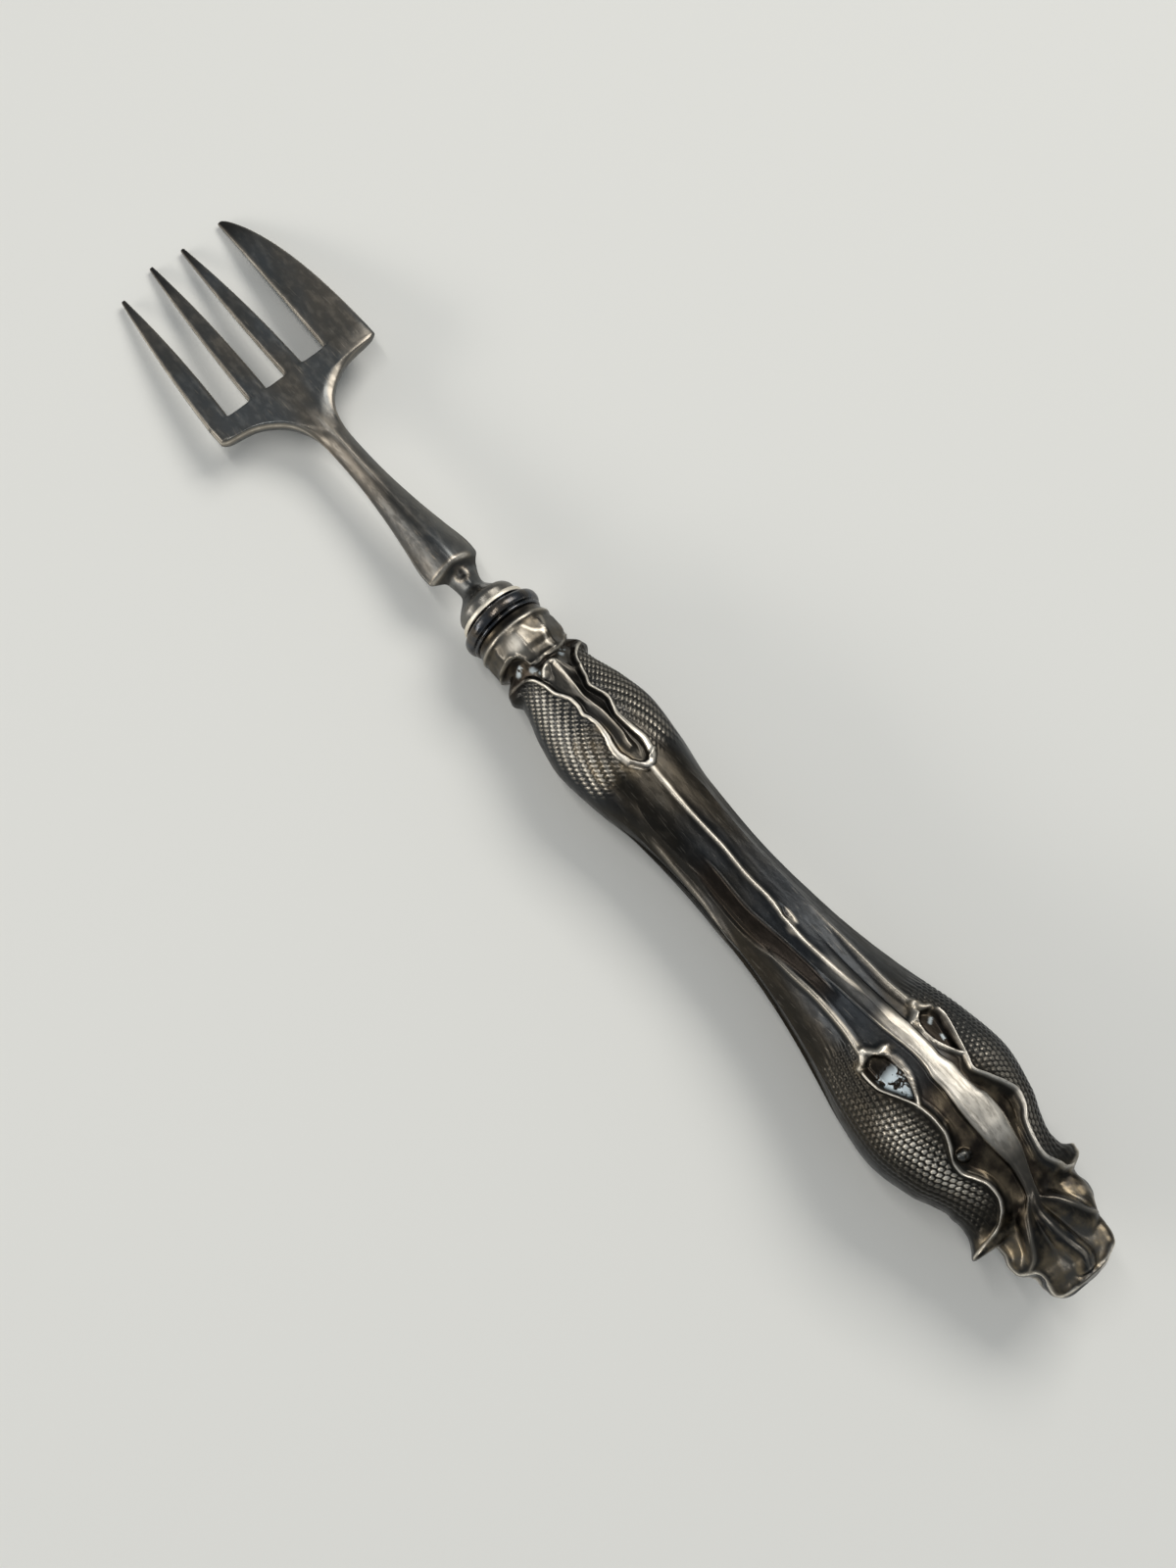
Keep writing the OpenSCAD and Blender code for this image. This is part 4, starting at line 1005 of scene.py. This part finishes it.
def fill_grid(mesh, points, masks):
    """A flat grid whose corners are moved to their places on the sheet."""
    long_count = len(points) - 1
    round_count = len(points[0]) - 1
    made = bmesh.ops.create_grid(mesh, x_segments=round_count, y_segments=long_count, size=1)["verts"]
    layers = [(mesh.verts.layers.float.get(name), values) for name, values in masks.items()]
    for vertex in made:
        i = round((vertex.co.y + 1) / 2 * long_count)
        j = round((vertex.co.x + 1) / 2 * round_count)
        vertex.co = points[i, j]
        for layer, values in layers:
            vertex[layer] = values[i, j]
    return made


sheet_masks = {"wear_and_highlight": wear_and_highlight_mask, "dark": tarnish_and_shade_mask, "eye": painted_reflection_mask, "warm": warm_mask}
sheet = bmesh.new()
for name in sheet_masks:
    sheet.verts.layers.float.new(name)
fill_grid(sheet, skin, sheet_masks)
# Inside of the sheet: a coarser grid, one thickness further in, joined to the outside all along its rim
inner_step = 8
inner_places = places[::inner_step, ::inner_step]
inner_angles = angles[::inner_step, ::inner_step]
inner_height = np.minimum(height[::inner_step, ::inner_step], 0) - sheet_t
inner_skin = on_body(np.maximum(inner_places, sheet_t * 1.2), inner_angles, inner_height)
inner_skin[:, :, 0] = np.maximum(inner_places, sheet_t)
inner_skin[:, [0, -1], 2] = 0
inner_skin[0] = (sheet_t, 0, 0)
inner_verts = set(fill_grid(sheet, inner_skin, {}))
inner_rim = [edge for edge in sheet.edges if edge.is_boundary and edge.verts[0] in inner_verts]
bmesh.ops.subdivide_edges(sheet, edges=inner_rim, cuts=inner_step - 1, use_grid_fill=False)
bmesh.ops.bridge_loops(sheet, edges=[edge for edge in sheet.edges if edge.is_boundary])
bmesh.ops.remove_doubles(sheet, verts=sheet.verts, dist=0.0005)
bmesh.ops.poke(sheet, faces=[face for face in sheet.faces if len(face.verts) > 4])
bmesh.ops.recalc_face_normals(sheet, faces=sheet.faces)
front_sheet = sheet.copy()
bmesh.ops.transform(sheet, matrix=lay_down, verts=sheet.verts)
back_half = piece_from(sheet, "handle_back_sheet")
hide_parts("handle_back_shell")


def sheet_material(name):
    """The stamped sheet's silver, with brown warmth and a painted pale reflection, broken by dark branches,
    in the lower eye and as glints in the recesses.
    """
    material = silver_material(
        name, dark=(0.019, 0.018, 0.016, 1), brown=(0.035, 0.030, 0.023, 1), blue=(0.030, 0.035, 0.041, 1),
        half_bare_and_lit=(0.26, 0.237, 0.20, 1), pale=(0.80, 0.75, 0.66, 1), cloud_scale=150.0, dull=0.30,
        bright_roughness=0.45, scratch_amount=0.2, grain_amount=0.75)
    tree = material.node_tree
    shader = tree.nodes["Principled BSDF"].inputs
    place = object_place(tree)
    patch = add_ramp(tree, add_noise(tree, place, 700.0, 4.0), 0.35, 0.7)
    warm = add_math(tree, "MULTIPLY", painted(tree, "warm"), patch)
    colour = add_blend(tree, warm, shader["Base Color"].links[0].from_socket, (0.20, 0.16, 0.105, 1))
    # Painted reflection of a pale sky, broken by dark branches, where the reflection mask is set
    reflection_branches = add_ramp(tree, add_noise(tree, place, 1000.0, 3.0, Distortion=1.0), 0.41, 0.48)
    painted_reflection = add_math(tree, "MULTIPLY", painted(tree, "eye"), reflection_branches)
    colour = add_blend(tree, painted_reflection, colour, (0.58, 0.65, 0.68, 1))
    silver_roughness = shader["Roughness"].links[0].from_socket
    roughness = add_node(tree, "ShaderNodeMix", {"Factor": painted_reflection, "A": silver_roughness, "B": 0.62},
                         data_type="FLOAT").outputs[0]
    tree.links.new(roughness, shader["Roughness"])
    tree.links.new(colour, shader["Base Color"])
    return material


handle_silver = sheet_material("handle_silver")
back_half.data.materials.append(handle_silver)

# Front half of the handle: the mirror image of the back half, soldered to it along both edges.
# It faces the table, so its ornament is taken to be the same.
bmesh.ops.transform(front_sheet, matrix=lay_down @ Matrix.Scale(-1, 4, (0, 0, 1)), verts=front_sheet.verts)
bmesh.ops.reverse_faces(front_sheet, faces=front_sheet.faces)
front_half = piece_from(front_sheet, "handle_front_sheet")
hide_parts("handle_front_shell")
front_half.data.materials.append(handle_silver)

# Filler: brown pitch that was poured hot into the hollow handle and holds the tang.
# It is closed in on all sides, so its own solid is kept and only gets the look of pitch.
pitch = bpy.data.materials.new("pitch")
pitch.use_nodes = True
pitch_tree = pitch.node_tree
pitch_shader = pitch_tree.nodes["Principled BSDF"].inputs
pitch_shader["Roughness"].default_value = 0.62
grit = add_noise(pitch_tree, object_place(pitch_tree), 900.0, 4.0)
pitch_colour = add_blend(pitch_tree, grit, (0.055, 0.030, 0.016, 1), (0.13, 0.075, 0.04, 1))
pitch_tree.links.new(pitch_colour, pitch_shader["Base Color"])
grit_bump = add_node(pitch_tree, "ShaderNodeBump", {"Height": grit, "Strength": 0.3, "Distance": 0.0002})
pitch_tree.links.new(grit_bump.outputs[0], pitch_shader["Normal"])
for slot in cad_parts["handle_filler"].material_slots:
    slot.material = pitch
